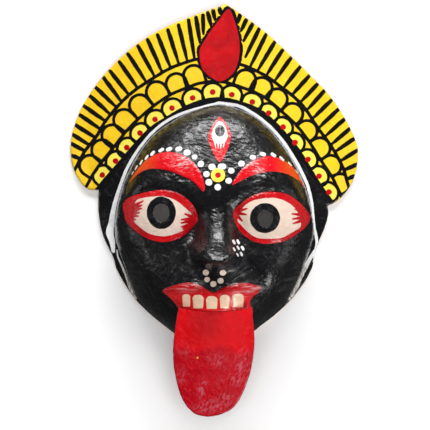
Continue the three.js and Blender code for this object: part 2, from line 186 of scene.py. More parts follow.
# Brows, and the rims and whites of the eyes
LEFT_BROW = [
    (-63.5, 19.5), (-57.9, 28.7), (-52.2, 35), (-45.5, 39.6), (-36.8, 42.2), (-27.6, 41.4),
    (-19.6, 37.9), (-12.8, 31.4), (-9.1, 24.7), (-7, 16.3), (-7.9, 13), (-10.3, 14.8),
    (-15.8, 20.4), (-24.4, 24.8), (-31.8, 27.8), (-41.1, 29.8), (-50.3, 29.2), (-57.9, 25.1),
]
RIGHT_BROW = [
    (13.1, 17.8), (16.4, 24.1), (21.9, 30.9), (28.6, 35.8), (34.9, 38.3), (40.4, 39.4),
    (47.9, 37.8), (54.8, 34.2), (60.5, 29.4), (64.8, 22.5), (68.7, 14.6), (70, 9.9),
    (68, 14.6), (63.5, 20.7), (57.1, 24.6), (50.9, 26.8), (42.2, 27.8), (34.8, 26.7),
    (26.2, 24.1), (18.8, 20.4),
]
LEFT_EYE_RIM = [
    (-68.2, 3.4), (-64.7, 7.7), (-55.2, 11.4), (-45.9, 13.4), (-37.9, 14.1), (-28.1, 12.2),
    (-20.7, 7.9), (-15.2, 2.1), (-12.5, -4.6), (-12.2, -8), (-15.2, -12.6), (-21.3, -18.7),
    (-29.3, -22.8), (-37.8, -24.3), (-45.8, -23), (-53.9, -19.4), (-61.4, -13.8), (-65.8, -9),
    (-67.5, -2.9),
]
LEFT_EYE_WHITE = [
    (-57.7, 6.4), (-51.5, 8.5), (-42.8, 9.5), (-35.4, 9.1), (-28.1, 6.3), (-22, 1.6),
    (-16.5, -4.9), (-18.9, -12.6), (-25.6, -16.9), (-33.5, -19.6), (-41.5, -19.8),
    (-49, -17.5), (-55.1, -13.2), (-59.5, -8.4),
]
RIGHT_EYE_RIM = [
    (14, -2.1), (18.8, 3.3), (26.2, 8.8), (35.4, 12.2), (44.6, 12.7), (53.8, 11), (61.4, 6.4),
    (67.8, 0.3), (71.7, -5.8), (69, -12.1), (61.9, -18.1), (53.2, -23.1), (44.5, -25.2),
    (35.3, -25.4), (27.4, -23), (20.1, -17.5), (15.8, -10.8),
]
RIGHT_EYE_WHITE = [
    (21.2, 1.2), (27.4, 5.8), (36, 7.9), (44.6, 8.2), (51.3, 6.4), (57, 3.1), (60.7, -0.3),
    (64.1, -12.4), (56.9, -17.5), (50.8, -20.9), (41.5, -21.8), (32.2, -21.2), (25.6, -17.5),
    (20.1, -12), (17.3, -8.3),
]

# Lashes over the whites of the eyes: outer end and inner end
LASHES = [
    (-59.5, 2.3, -52.7, 6), (-59.5, 0.1, -53.5, 3), (-59.9, -1.4, -53.8, 0.5),
    (-60.2, -3.2, -55.3, -2.5), (-60.6, -5.1, -56.1, -5.1), (-61.8, -7.3, -58.3, -7.7),
    (-15.7, -5.8, -21.6, -3.6), (-15.7, -6.9, -24.2, -7.7), (-16.5, -8.8, -24.5, -10.2),
    (-17.2, -11, -24.2, -13.2), (-17.9, -13.2, -23.1, -14.7), (17.5, -1.4, 24.1, 0.4),
    (17.5, -3.2, 23.4, -4), (17.1, -5.1, 20.5, -8.8), (65.2, -2.9, 59.8, 0.1),
    (65.9, -4.3, 57.5, -3.6), (66.3, -6.2, 57.9, -7.3), (65.9, -8.4, 58.3, -10.6),
]

# Painted irises: x, y, half width, half height
IRISES = [(-39.1, -2.7, 10.8, 12), (37.4, -6.6, 11.1, 11.1)]

# Lips and the gum that the teeth are painted on
MOUTH = [
    (-38.5, -60.5), (-30.8, -56.7), (-22.7, -54.4), (-17.1, -54.2), (-10, -56.2), (-5.1, -59.3),
    (-1.2, -61.3), (2.7, -59.8), (9.2, -56.6), (17.2, -54.6), (25.2, -54.7), (30, -56),
    (34.9, -57.5), (32.4, -61.6), (28.1, -64.9), (26.4, -69.4), (27.5, -75), (1.3, -78.5),
    (-25, -76.5), (-26.8, -73.7), (-28.5, -70.5), (-33.2, -65.2),
]

# Teeth: left, bottom, right, top
TEETH = [
    (-23.6, -72, -17.6, -62.6), (-16, -73.1, -7.8, -63), (-6.1, -73.4, 2.4, -63.9),
    (4, -73, 11.4, -63), (13.2, -72.4, 21.8, -62.1),
]

# White lines round the face, as runs of x, y and half width
WHITE_LINES = [
    [
        (3.5, 79.4, 1.2), (-8.5, 76.4, 1.1), (-24.2, 71.6, 1.15), (-36.1, 65.6, 1.2),
        (-46.7, 57.1, 1.2), (-54.5, 48.1, 1.2), (-60.6, 39.1, 1.25), (-66, 29.4, 1.3),
        (-70, 18.9, 1.4), (-73.3, 9.2, 1.7), (-76.1, -2.1, 2), (-77.2, -10.4, 2.6),
        (-78.6, -17.1, 3.2), (-76.9, -23.9, 2.4), (-75.8, -31.4, 1.6),
    ],
    [
        (-73.2, -30.7, 0.5), (-72.4, -35.9, 0.6), (-69.4, -42.7, 0.8), (-65.6, -52.5, 1),
        (-62.6, -60.7, 1.2), (-58.9, -67.5, 0.8),
    ],
    [
        (3.5, 79.4, 1.3), (18.2, 77.2, 1.3), (29, 71.6, 1.3), (39.5, 63.8, 1.3),
        (48.8, 54.1, 1.35), (56.4, 43.6, 1.35), (64.3, 30.1, 1.4), (69.5, 18.9, 1.3),
        (72.6, 7.7, 1.25), (74.9, -12.6, 1.2), (77.2, -25.4, 1.3), (76.1, -32.2, 1.6),
        (75, -39.7, 1.2),
    ],
    [
        (75, -31.4, 0.9), (69.7, -41.2, 1.9), (65.2, -50.2, 1.8), (60.7, -60.7, 1.6),
        (56.2, -68.3, 0.8),
    ],
]

# Dots: x, y, half length, half width, tilt in degrees
BROW_DOTS = [
    (-10, 33.3, 2.6, 2.5, 0), (-14.5, 38.5, 2.3, 2, 0), (-20.2, 41.8, 2.9, 2.4, 0),
    (-26.4, 44.5, 2.8, 1.8, 18), (-33.5, 44.5, 2.6, 1.5, 25), (-39.5, 43.8, 2.6, 1.3, 32),
    (-45.8, 41.4, 2.5, 1.15, 50), (-50.3, 38.4, 2.4, 0.85, 55), (-54.5, 34.8, 2.3, 0.7, 57),
    (-58.3, 30.9, 2.2, 0.6, 60), (-60.9, 26.9, 1.9, 0.5, 62), (20.1, 33.6, 2.6, 2.3, 8),
    (28.4, 38.4, 2.5, 1.8, 0), (36, 40.7, 2.5, 1.6, -14), (43.8, 40.2, 2.5, 1.3, -34),
    (50.1, 37.5, 2.6, 0.95, -44), (56.4, 33.6, 2.6, 0.75, -48), (61.4, 28.1, 2.3, 0.55, -55),
]
FLOWER_DOTS = [
    (-1.7, 31.1, 2.9, 2.5, 0), (5.7, 31.4, 3.4, 2.3, 0), (12.5, 28.3, 2.6, 2.4, 0),
    (-5.8, 25.7, 2.6, 2.4, 0), (-4, 19.7, 2.8, 2.6, 0), (2.5, 16.1, 2.7, 2.6, 0),
    (10.6, 20.9, 2.6, 2.4, 0),
]
FLOWER_CENTRE = (2.7, 25.1)
NOSE_DOTS = [
    (-6.2, -46.7, 2.5, 2.3, 0), (-5.2, -51.8, 2.2, 2, 0), (-0.7, -55.1, 2.4, 2.3, 0),
    (4.6, -52.8, 2.5, 2.3, 0), (6.3, -46.7, 2.5, 2.5, 0),
]

# Middles of the short white strokes on the cheek
CHEEK_STROKES = [
    (14.5, -24.3), (17.7, -24.1), (14.6, -29.5), (17.5, -28.5), (20.8, -28.8), (17.1, -33.6),
    (19.9, -33.1),
]

# Scratches in the paint, with painted glints among them: a pale streak down the third eye's
# pupil and two streaks of highlight on the forehead above the flower of dots: start and end
SCRATCHES_AND_GLINTS = [
    (-17.5, 46.5, -8.5, 39.5), (-15, 48, -6.5, 41), (-19, 43.6, -10.6, 43.2),
    (-12, 45, -9.5, 36), (15.8, 40.6, 21, 31.4), (17, 33.5, 20.5, 29.8), (22, 42, 25.2, 36),
    (13, 39.5, 17.8, 40.6), (24, 44, 28.5, 41.6), (-76.8, 9.9, -82.9, 13.7),
    (-49, -30, -51.8, -32.4), (-22, -100, -17.5, -97), (4.2, 61.8, 4.1, 55.2),
    (4.5, 61.2, 4.4, 56), (6, 38.6, 17, 42.4), (4, 37.6, 11, 40.2),
]

# Painted sheen: places where pale streaks are painted for the highlights on the gloss: x, y,
# half length, half width, tilt in degrees and how pale
PAINTED_SHEEN = [
    (-23.1, 34, 8, 5.5, -20, 0.9), (30.8, 30.3, 9, 4.5, -32, 0.9), (-14, 62, 11, 9, 20, 0.22),
    (4, 55, 34, 20, 0, 0.07), (22, 42, 12, 7, -20, 0.16), (-14, 43.6, 10, 7, 20, 0.12),
    (-40, -39, 14, 10, 0, 0.025), (48.5, -30, 12, 10, 0, 0.03), (17, -49.5, 8, 4, -10, 0.2),
    (-19, -58, 9, 3.5, 8, 0.4), (28, -58, 9, 4, -6, 0.45), (14, -74, 10, 0.9, 5, 0.6),
    (-4, -22, 7, 15, 0, 0.07), (-11.5, -33, 5, 5, 0, 0.05), (13.5, -35, 4.5, 5, 0, 0.045),
    (-62, -50, 8, 12, 30, 0.03), (60, -52, 8, 12, -30, 0.06), (-82, -12, 3, 14, 0, 0.05),
]

# Painted sheen of the tongue, pale pink where its glints fall; its speck of yellow; and the places
# where its red is darker, painted shade
TONGUE_PAINTED_SHEEN = [
    (20.4, -114, 5.5, 11, -10, 0.6), (16.3, -125.6, 6, 6, 0, 0.5), (-3.7, -146, 12, 5, 4, 0.7),
    (7.9, -140, 7, 6, 0, 0.5), (-9, -132, 3.2, 7, -12, 0.8), (3.7, -112, 9, 6, -20, 0.35),
    (-24.7, -123.4, 4, 8, 0, 0.4), (-22.6, -103.6, 5, 6, 0, 0.3), (5.8, -128.7, 4, 5, 0, 0.35),
]
TONGUE_SPECK = (-12.5, -109.5, 0.75, 0.6, 30)
TONGUE_SHADE = [(-6.8, -85, 13, 15, 0, 1), (-24, -108, 5, 7, 0, 0.6), (8, -137, 14, 5, 30, 0.5)]

# Attributes of the shell that hold how far a point lies inside each paint, in metres
LAYERS = [
    "yellow", "pale_yellow", "ink", "crimson", "scarlet", "white", "cream", "crimson_over",
    "ink_over", "scratch",
]
UNPAINTED = -0.01

# Half widths of the brush strokes, from one end to the other or for each kind
STRIPE_WIDTHS = [1.4, 1.75, 1.7, 1.5, 1.0]
LASH_WIDTHS = [1.3, 1.05, 0.6]
DRIP_WIDTHS = [0.8, 0.5, 0.2]
SCRATCH_AND_GLINT_WIDTHS = [0.1, 0.2, 0.08]
HAIR_LINE_WIDTH = 1.5
MIDDLE_LINE_WIDTH = 1.25
STRIPE_LINE_WIDTH = 1.3
PLAIN_ARCH_WIDTH = 1.2
DOTTED_ARCH_WIDTH = 1.1
DROP_EDGE_WIDTH = 2.5

# Scallops: half width and leg of the black arches and of the pale ground, and their heights
SCALLOP_HALF_WIDTH, SCALLOP_LEG = 7.7, 10
PALE_HALF_WIDTH, PALE_LEG = 7.6, 5
PLAIN_RISE = 7.6
DOTTED_RISE = 6.8

# Half length and half width of dots that are all alike, and how slim the other marks are drawn
FLOWER_GROUND = (5.3, 5.2)
FLOWER_HEART = (2.1, 2)
SCALLOP_DOT = (2.2, 2.1)
CHEEK_STROKE = (1.9, 0.95, -62)
WHITE_LINE_SHARE = 0.88
WHITE_DAB_SHARE = 0.92
NOSE_DOT_SHARE = 0.94

# Paints that stand up: height, and width of the slope up from their edge
RELIEFS = {
    "Eye rims": (0.5, 1.6), "Mouth": (0.9, 2.2), "Brows": (0.6, 1.6), "Teeth": (0.35, 0.9),
}
NO_RELIEF = (0, 1)

# Steps along the outlines, painted lines, painted shapes, strokes and the foot line
EDGE_STEP = 0.9
LINE_STEP = 0.8
SHAPE_STEP = 0.6
STROKE_STEP = 0.5
FOOT_STEP = 1.2
SPAN_STEPS = 32

# Spacing of the shell's vertices on the third eye, fine paint, crown and plain black
SHELL_SPACINGS = [0.45, 0.68, 0.8, 1.25]
THIRD_EYE_AREA = (-3, 43, 11, 67)
FINE_AREAS = [
    (-70, -27, -10, 16), (12, -28, 74, 16), (-66, 10, 72, 47), (-8, 32, 16, 70),
    (-41, -79, 37, -50), (-9, -58, 10, -44), (12, -37, 24, -21),
]
WHITE_LINE_REACH = 4

# Spacing of the other vertices: in the hollow, and on the tongue's front and back
HOLLOW_SPACING = 2.2
TONGUE_SPACINGS = (0.95, 1.8)

# Rows of vertices: how far in from an edge, how many down a side wall, how far to each side of
# the seat's edge and of the rim of the hollow, and how far the other vertices keep from those
ROUNDING_ROWS = [0.3, 0.8]
SHELL_WALL_ROWS, TONGUE_WALL_ROWS = 3, 1
SEAT_ROW, SEAT_CLEARANCE = 0.12, 0.45
RIM_ROW, RIM_CLEARANCE = 0.15, 0.9

# The uneven skin fades out over this height above the table
SKIN_FADE = 1.5

# Radius along the edges of the pupils, and of the tongue's front and back
HOLE_ROUND = 0.4
TONGUE_FRONT_ROUND = 0.8
TONGUE_BACK_ROUND = 0.9

# Corners of the boxes that rows of vertices are laid out in
SHELL_BOX = ((-110, -106), (110, 156))
TONGUE_BOX = ((-34, -156), (34, -70))

# The hollow behind the crown is open all round, out past the crown's edge
BEHIND_CROWN = [(119, 10), (119, 161), (-119, 161), (-119, 19)]

SHARP_ANGLE = math.radians(62)

# Softboxes in metres: place, width, height, the setting with its power, shown in the gloss or not
SOFTBOXES = {
    "top_light": ((0.05, 1.62, 0.86), 1.6, 0.5, "top_light", True),
    "left_light": ((-1.5, 0.1, 0.4), 0.4, 0.9, "side_light", True),
    "right_light": ((1.5, 0.0, 0.4), 0.4, 0.9, "side_light", True),
    "low_light": ((0.9, -1.2, 0.8), 0.9, 0.5, "low_light", True),
    "front_light": ((0.2, -0.3, 3.0), 2.0, 2.0, "front_light", False),
}

# Half width of the floor, place of the camera and its view in metres, and its lens in millimetres
FLOOR_REACH = 3.0
CAMERA_PLACE = (0.0005, -0.00435, 2.5)
CAMERA_VIEW_END = 20.0
CAMERA_LENS = 278.0
CAMERA_SENSOR = 36.0


# Sizes and colours that a user may change


def pigment(red, green, blue):
    """Linear colour of a paint given as it shows on a screen, 0 to 255."""
    shares = [value / 255 for value in (red, green, blue)]
    return tuple(s / 12.92 if s <= 0.04045 else ((s + 0.055) / 1.055) ** 2.4 for s in shares)


def length(name, description, default):
    """A length in metres."""
    return bpy.props.FloatProperty(
        name=name, description=description, default=default, min=0.0,
        subtype="DISTANCE", unit="LENGTH", precision=5,
    )


def paint(name, description, default):
    """A paint colour."""
    return bpy.props.FloatVectorProperty(
        name=name, description=description, default=default, size=3, min=0.0, max=1.0,
        subtype="COLOR",
    )


def power(name, description, default):
    """A lamp's power in watts."""
    return bpy.props.FloatProperty(
        name=name, description=description, default=default, min=0.0, unit="POWER",
    )


class MaskForm(bpy.types.PropertyGroup):
    """Sizes of the shell and tongue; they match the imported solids."""

    wall: length("Wall", "Thickness of the papier-mache wall", 0.004)
    crown_front: length("Crown front", "Height of the crown's middle over the table", 0.017)
    chin_front: length("Chin rim", "Height of the rim at the chin over the table", 0.008)
    dome_front: length("Face dome", "Height of the face's dome over the table", 0.05)
    bridge_height: length("Nose bridge", "Height of the bridge where it meets the ball", 0.0205)
    ball_height: length("Nose ball", "Height of the ball of the nose over the bridge", 0.003)
    edge_round: length("Edge rounding", "Radius along the edge of the shell", 0.0016)
    tongue_front: length("Tongue front", "Height of the tongue's root over the table", 0.0565)
    tongue_droop: length("Tongue droop", "How far the tip hangs below the root", 0.012)
    tongue_thickness: length("Tongue thickness", "Thickness of the tongue's sheet", 0.003)


class MaskSkin(bpy.types.PropertyGroup):
    """Hand-made unevenness of the papier-mache and its brushwork."""

    lump_height: length("Lump height", "Height of the broad lumps in the paper", 0.00042)
    lump_size: length("Lump size", "Width of the broad lumps in the paper", 0.016)
    crinkle_height: length("Crinkle height", "Height of the small wrinkles", 0.00034)
    crinkle_size: length("Crinkle size", "Width of the small wrinkles", 0.0044)
    wobble: length("Brush wobble", "How far a painted edge strays", 0.00028)
    wobble_size: length("Wobble size", "Length of one stray of a painted edge", 0.004)
    seed: bpy.props.IntProperty(
        name="Seed", description="Seed of the unevenness", default=7, min=0,
    )


class MaskPaints(bpy.types.PropertyGroup):
    """Colours of the enamels and of the bare paper."""

    black: paint("Black", "Face and hair enamel", pigment(15, 15, 17))
    gold: paint("Gold", "Crown enamel", pigment(253, 212, 42))
    lemon: paint("Lemon", "Pale yellow of the dotted scallops", pigment(254, 236, 92))
    crimson: paint("Crimson", "Eye rims, dots and lips", pigment(200, 8, 20))
    scarlet: paint("Scarlet", "Brows", pigment(222, 12, 26))
    white: paint("White", "Lines and dots", pigment(240, 240, 240))
    cream: paint("Cream", "Eyes and teeth", pigment(226, 205, 190))
    tongue: paint("Tongue red", "Enamel of the tongue", pigment(202, 4, 16))
    paper: paint("Bare paper", "Unpainted back", pigment(176, 132, 84))


class MaskStage(bpy.types.PropertyGroup):
    """Floor and lamps."""

    floor: paint("Floor", "Colour of the floor", pigment(252, 252, 252))
    top_light: power("Top light", "Power of the softbox beyond the crown", 38.0)
    side_light: power("Side lights", "Power of the softbox on each side", 1.4)
    low_light: power("Low light", "Power of the softbox beyond the tongue", 12.0)
    front_light: power("Front light", "Power of the wide softbox over the camera", 50.0)
    sky: bpy.props.FloatProperty(
        name="Room light", description="Strength of the even light all round", default=0.05,
        min=0.0,
    )


# Lines and heights, in millimetres


def smooth_line(points, closed=False, step=LINE_STEP):
    """Points spaced evenly along a smooth line; any third value is carried along."""
    knots = np.array(points, float)
    count = len(knots)
    runs = []
    for i in range(count if closed else count - 1):
        start, end = knots[i], knots[(i + 1) % count]
        before = knots[i - 1] if closed or i > 0 else 2 * start - end
        after = knots[(i + 2) % count] if closed or i + 2 < count else 2 * end - start
        first, middle, last = (
            max(np.linalg.norm((b - a)[:2]), 1e-6) ** 0.5
            for a, b in ((before, start), (start, end), (end, after))
        )
        leave = (start - before) / first - (end - before) / (first + middle)
        leave = (leave + (end - start) / middle) * middle
        arrive = (end - start) / middle - (after - start) / (middle + last)
        arrive = (arrive + (after - end) / last) * middle
        t = np.linspace(0, 1, SPAN_STEPS + 1)[:-1, None]
        square = -3 * start + 3 * end - 2 * leave - arrive
        cube = 2 * start - 2 * end + leave + arrive
        runs.append(start + leave * t + square * t**2 + cube * t**3)
    line = np.concatenate(runs + [knots[:1] if closed else knots[-1:]])
    gaps = np.linalg.norm(np.diff(line[:, :2], axis=0), axis=1)
    passed = np.r_[0, np.cumsum(gaps)]
    stops = np.linspace(0, passed[-1], max(2, round(passed[-1] / step)) + 1)
    even = np.stack([np.interp(stops, passed, column) for column in line.T], 1)
    return even[:-1] if closed else even


def offset_line(points, distance):
    """A closed anticlockwise line moved outwards."""
    along = np.roll(points, -1, axis=0) - np.roll(points, 1, axis=0)
    along /= np.linalg.norm(along, axis=1)[:, None]
    return points + distance * np.stack([along[:, 1], -along[:, 0]], 1)


def inside(points, line):
    """Whether each point lies inside a closed line."""
    x, y = points[:, 0], points[:, 1]
    hit = np.zeros(len(points), bool)
    for (ax, ay), (bx, by) in zip(line, np.roll(line, -1, axis=0)):
        if ay == by:
            continue
        crossing = (ay > y) != (by > y)
        hit ^= crossing & (x < (bx - ax) * (y - ay) / (by - ay) + ax)
    return hit


def distance_to(points, line):
    """Distance from each point to the nearest point of a finely stepped line."""
    tree = kdtree.KDTree(len(line))
    for i, (x, y) in enumerate(line):
        tree.insert((x, y, 0), i)
    tree.balance()
    return np.array([tree.find((x, y, 0))[2] for x, y in points])


def smoothstep(start, end, value):
    """0 up to the start, 1 from the end on, smooth between."""
    t = np.clip((value - start) / (end - start), 0, 1)
    return t * t * (3 - 2 * t)


def turned(x, y, tilt):
    """How far x and y reach along and across a direction tilted by some degrees."""
    cos, sin = math.cos(math.radians(tilt)), math.sin(math.radians(tilt))
    return x * cos + y * sin, y * cos - x * sin


def tongue_outline():
    """Edge of the tongue as an anticlockwise loop."""
    return np.concatenate([smooth_line(run)[:-1] for run in (TONGUE_SIDES, TONGUE_ROOT)])


class FaceSurface:
    """Heights of the mask's surfaces over the table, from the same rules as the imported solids."""

    dome_centre = np.array([0.0, -27.0])
    dome_power = 3.6
    forms_fade = 0.86
    plate_rise = (-70, 40)
    plate_sweep = 0.00144
    wing_seal = 0.2
    seat_gap = 0.3

    nose_middle, nose_top, nose_length = 2.7, 3, 41
    nose_half_width, nose_flare, nose_arch = 9, 5.5, 5
    nose_fade_above, nose_fade_below = 9, 6
    ball_y, ball_half_width, ball_half_length = -34.5, 13, 9.5
    nostrils = ((-6, -43.2), (8.5, -43.4))
    nostril_half_width, nostril_half_height, nostril_depth = 3.4, 2, 1.8

    # The lid roll and the brow ridge: how much larger than the eye, and height
    eye_rolls = ((1.32, 3), (2.1, 2.2))
    eyeball_height = 4
    roll_width, roll_stretch, roll_start = 0.28, 0.55, (0.05, 0.7)
    between_eyes, rolls_clear = 1, 20

    # Rings of points on the ball that sets the wall off, and the thicker wall behind the lips
    ball_rings = (0.5, 0.8, 0.98)
    points_half_round = 6
    lip_wall, lip_y, lip_half_width, lip_half_height = 4.5, -79, 34, 14

    tongue_middle, tongue_start, tongue_length = -0.5, -74, 79
    tongue_curl, tongue_bow = 1.6, 0.0034

    def __init__(self, form):
        self.wall = form.wall / MM
        self.crown_front = form.crown_front / MM
        self.chin_front = form.chin_front / MM
        self.dome_front = form.dome_front / MM
        self.bridge_height = form.bridge_height / MM
        self.ball_height = form.ball_height / MM
        self.tongue_front = form.tongue_front / MM
        self.tongue_droop = form.tongue_droop / MM
        self.tongue_thickness = form.tongue_thickness / MM
        spokes = smooth_line(FOOT_LINE, True, FOOT_STEP) - self.dome_centre
        angles = np.arctan2(spokes[:, 1], spokes[:, 0]) % (2 * np.pi)
        order = np.argsort(angles)
        self.spoke_angles = angles[order]
        self.spoke_lengths = np.linalg.norm(spokes, axis=1)[order]
        self.tongue_seat = offset_line(tongue_outline(), self.seat_gap)

    def plate(self, x, y):
        """The thin plate of the crown, hair and jaw, which sweeps back to its sides."""
        rise = smoothstep(*self.plate_rise, y)
        centre = self.chin_front + (self.crown_front - self.chin_front) * rise
        return np.maximum(self.wall, centre - self.plate_sweep * x * x)

    def share(self, x, y):
        """How far a point lies on the way from the dome's centre to the foot line."""
        dx, dy = x - self.dome_centre[0], y - self.dome_centre[1]
        angles = np.arctan2(dy, dx)
        foot = np.interp(angles, self.spoke_angles, self.spoke_lengths, period=2 * np.pi)
        return np.hypot(dx, dy) / foot

    def nose(self, x, y):
        """The bridge, which rises and widens towards its end, and the ball on it."""
        end = self.nose_top - self.nose_length
        down = np.clip((self.nose_top - y) / self.nose_length, 0, 1)
        above = np.maximum(0, y - self.nose_top) / self.nose_fade_above
        aside = np.abs(x - self.nose_middle) / (self.nose_half_width + self.nose_flare * down)
        below = np.maximum(0, end + self.nose_arch * aside**2 - y) / self.nose_fade_below
        bridge = (1 + self.bridge_height * down) * np.exp(-(aside**2.8) - above**2 - below**2)
        from_middle = (x - self.nose_middle) / self.ball_half_width
        away = np.hypot(from_middle, (y - self.ball_y) / self.ball_half_length)
        return bridge + self.ball_height * np.exp(-(away**2.2))

    def eye(self, eye, x, y):
        """Bulge of an eyeball with the lid roll and the brow ridge over it."""
        centre_x, centre_y, half_length, half_height, tilt = eye
        along, up = turned(x - centre_x, y - centre_y, tilt)
        along, up = along / half_length, up / half_height
        height = self.eyeball_height * np.maximum(0, 1 - along**2 - up**2)
        aside = smoothstep(0, self.rolls_clear, np.abs(x - self.between_eyes))
        for grow, lift in self.eye_rolls:
            wider = 1 + (grow - 1) * self.roll_stretch
            away = (np.hypot(along / wider, up / grow) - 1) / self.roll_width
            height += lift * np.exp(-away * away) * smoothstep(*self.roll_start, up) * aside
        return height

    def front(self, x, y):
        """Front of the shell before anything is cut into it."""
        plate = self.plate(x, y)
        share = self.share(x, y)
        forms = self.nose(x, y)
        for middle_x, middle_y, long, wide, tilt, height in FACE_FORMS.values():
            along, across = turned(x - middle_x, y - middle_y, tilt)
            along, across = along / long, across / wide
            forms = forms + height * np.exp(-along * along - across * across)
        for eye in EYE_FORMS:
            forms = forms + self.eye(eye, x, y)
        dome = (self.dome_front - plate) * np.sqrt(np.clip(1 - share**self.dome_power, 0, 1))
        fade = 1 - smoothstep(self.forms_fade, 1, share)
        return np.where(share >= 1, plate, plate + dome + forms * fade)

    def back(self, x, y):
        """Roof of the hollow: the front set back by a ball as wide as the wall."""
        height = self.front(x, y) - self.wall
        for part in self.ball_rings:
            reach = self.wall * part
            depth = math.sqrt(self.wall**2 - reach**2)
            for angle in np.arange(2 * self.points_half_round) * math.pi / self.points_half_round:
                around = self.front(x + reach * np.cos(angle), y + reach * np.sin(angle))
                height = np.minimum(height, around - depth)
        aside, up = x / self.lip_half_width, (y - self.lip_y) / self.lip_half_height
        height = height - self.lip_wall * np.exp(-(aside**2) - up**2)
        under_plate = self.plate(x, y) - self.wall - self.wing_seal
        return np.where(self.share(x, y) < 1, np.maximum(height, under_plate), under_plate)

    def tongue(self, x, y):
        """Front of the tongue, which droops towards its tip and bows to its sides."""
        out = np.maximum(0, (self.tongue_start - y) / self.tongue_length)
        droop = self.tongue_droop * out**self.tongue_curl
        return self.tongue_front - droop - self.tongue_bow * (x - self.tongue_middle) ** 2

    def cut_front(self, points):
        """The front with the seat that the tongue lies in and the dents of the nostrils."""
        x, y = points.T
        height = self.front(x, y)
        for middle_x, middle_y in self.nostrils:
            aside = (x - middle_x) / self.nostril_half_width
            away = np.hypot(aside, (y - middle_y) / self.nostril_half_height)
            height = height - self.nostril_depth * np.exp(-(away**2))
        seat = self.tongue(x, y) - self.tongue_thickness - self.seat_gap
        seated = inside(points, self.tongue_seat)
        return np.where(seated, np.minimum(height, seat), height)


# Sheets of triangles between a front and a back


def fill(loops, points):
    """Triangles over the points inside the first loop and outside the others."""
    edges = []
    start = 0
    for loop in loops:
        count = len(loop)
        edges += [(start + i, start + (i + 1) % count) for i in range(count)]
        start += count
    flat = np.concatenate([*loops, points])
    found = delaunay_2d_cdt([Vector(p) for p in flat.tolist()], edges, [], 0, 1e-6)
    if len(found[0]) != len(flat):
        raise RuntimeError("two points of a sheet fall together")
    triangles = np.array(found[2])
    along_edge = np.flatnonzero((triangles < start).all(axis=1))
    middles = flat[triangles[along_edge]].mean(axis=1)
    kept = inside(middles, loops[0])
    for hole in loops[1:]:
        kept &= ~inside(middles, hole)
    triangles = np.delete(triangles, along_edge[~kept], axis=0)
    a, b, c = (flat[triangles[:, k]] for k in range(3))
    turn = (b[:, 0] - a[:, 0]) * (c[:, 1] - a[:, 1]) - (b[:, 1] - a[:, 1]) * (c[:, 0] - a[:, 0])
    triangles[turn < 0] = triangles[turn < 0][:, ::-1]
    return flat, triangles


def staggered_points(spacing, box):
    """Rows of points, every other row shifted by half a step, as corners of even triangles."""
    (left, bottom), (right, top) = box
    row_height = spacing * 0.866
    x, y = np.meshgrid(np.arange(left, right, spacing), np.arange(bottom, top, row_height))
    x[1::2] += spacing / 2
    return np.stack([x.ravel(), y.ravel()], 1)


def points_within(loops, box, spacings, choose=None):
    """Staggered points clear of the loops, each spacing only where it is the chosen one."""
    edge = np.concatenate(loops)
    kept = []
    for kind, spacing in enumerate(spacings):
        points = staggered_points(spacing, box)
        if choose:
            points = points[choose(points) == kind]
        points = points[inside(points, loops[0])]
        points = points[distance_to(points, edge) > 0.75 * spacing]
        for hole in loops[1:]:
            points = points[~inside(points, hole)]
        kept.append(points)
    return np.concatenate(kept)


def edge_rows(loops):
    """Points in rows just inside an edge, for its rounding."""
    edge = np.concatenate(loops)
    rows = []
    for inset in ROUNDING_ROWS:
        for loop in loops:
            row = offset_line(loop, -inset)
            row = row[inside(row, loops[0])]
            rows.append(row[distance_to(row, edge) > 0.8 * inset])
    return np.concatenate(rows)


def closed_sheet(name, loops, front, back, wall_rows):
    """Closed mesh from a front and a back that share their loops.

    front and back are each (flat points, triangles, heights); wall_rows is how many rows of
    vertices the side wall has between them. Returns the mesh and where each vertex lies: its
    share of the way down the wall, 0 on the front and 1 on the back.
    """
    front_points, front_triangles, front_heights = front
    back_points, back_triangles, back_heights = back
    rim = sum(len(loop) for loop in loops)
    walls = [np.column_stack([front_points, front_heights])]
    shares = [np.zeros(len(front_points))]
    for row in range(1, wall_rows + 1):
        share = row / (wall_rows + 1)
        heights = front_heights[:rim] * (1 - share) + back_heights[:rim] * share
        walls.append(np.column_stack([front_points[:rim], heights]))
        shares.append(np.full(rim, share))
    walls.append(np.column_stack([back_points, back_heights]))
    shares.append(np.ones(len(back_points)))
    vertices = np.concatenate(walls)
    starts = [0] + [len(front_points) + k * rim for k in range(wall_rows + 1)]
    faces = [front_triangles, back_triangles[:, ::-1] + starts[-1]]
    for upper, lower in zip(starts[:-1], starts[1:]):
        first = 0
        for loop in loops:
            here = np.arange(len(loop))
            ahead = (here + 1) % len(loop)
            here, ahead = here + first, ahead + first
            faces.append(np.stack([here + upper, here + lower, ahead + lower], 1))
            faces.append(np.stack([here + upper, ahead + lower, ahead + upper], 1))
            first += len(loop)
    mesh = bpy.data.meshes.new(name)
    mesh.from_pydata((vertices * MM).tolist(), [], np.concatenate(faces).tolist())
    return mesh, np.concatenate(shares)


def write_attribute(mesh, name, values):
    """Stores one number at each vertex."""
    attribute = mesh.attributes.new(name, "FLOAT", "POINT")
    attribute.data.foreach_set("value", np.asarray(values, np.float32))


# Nodes


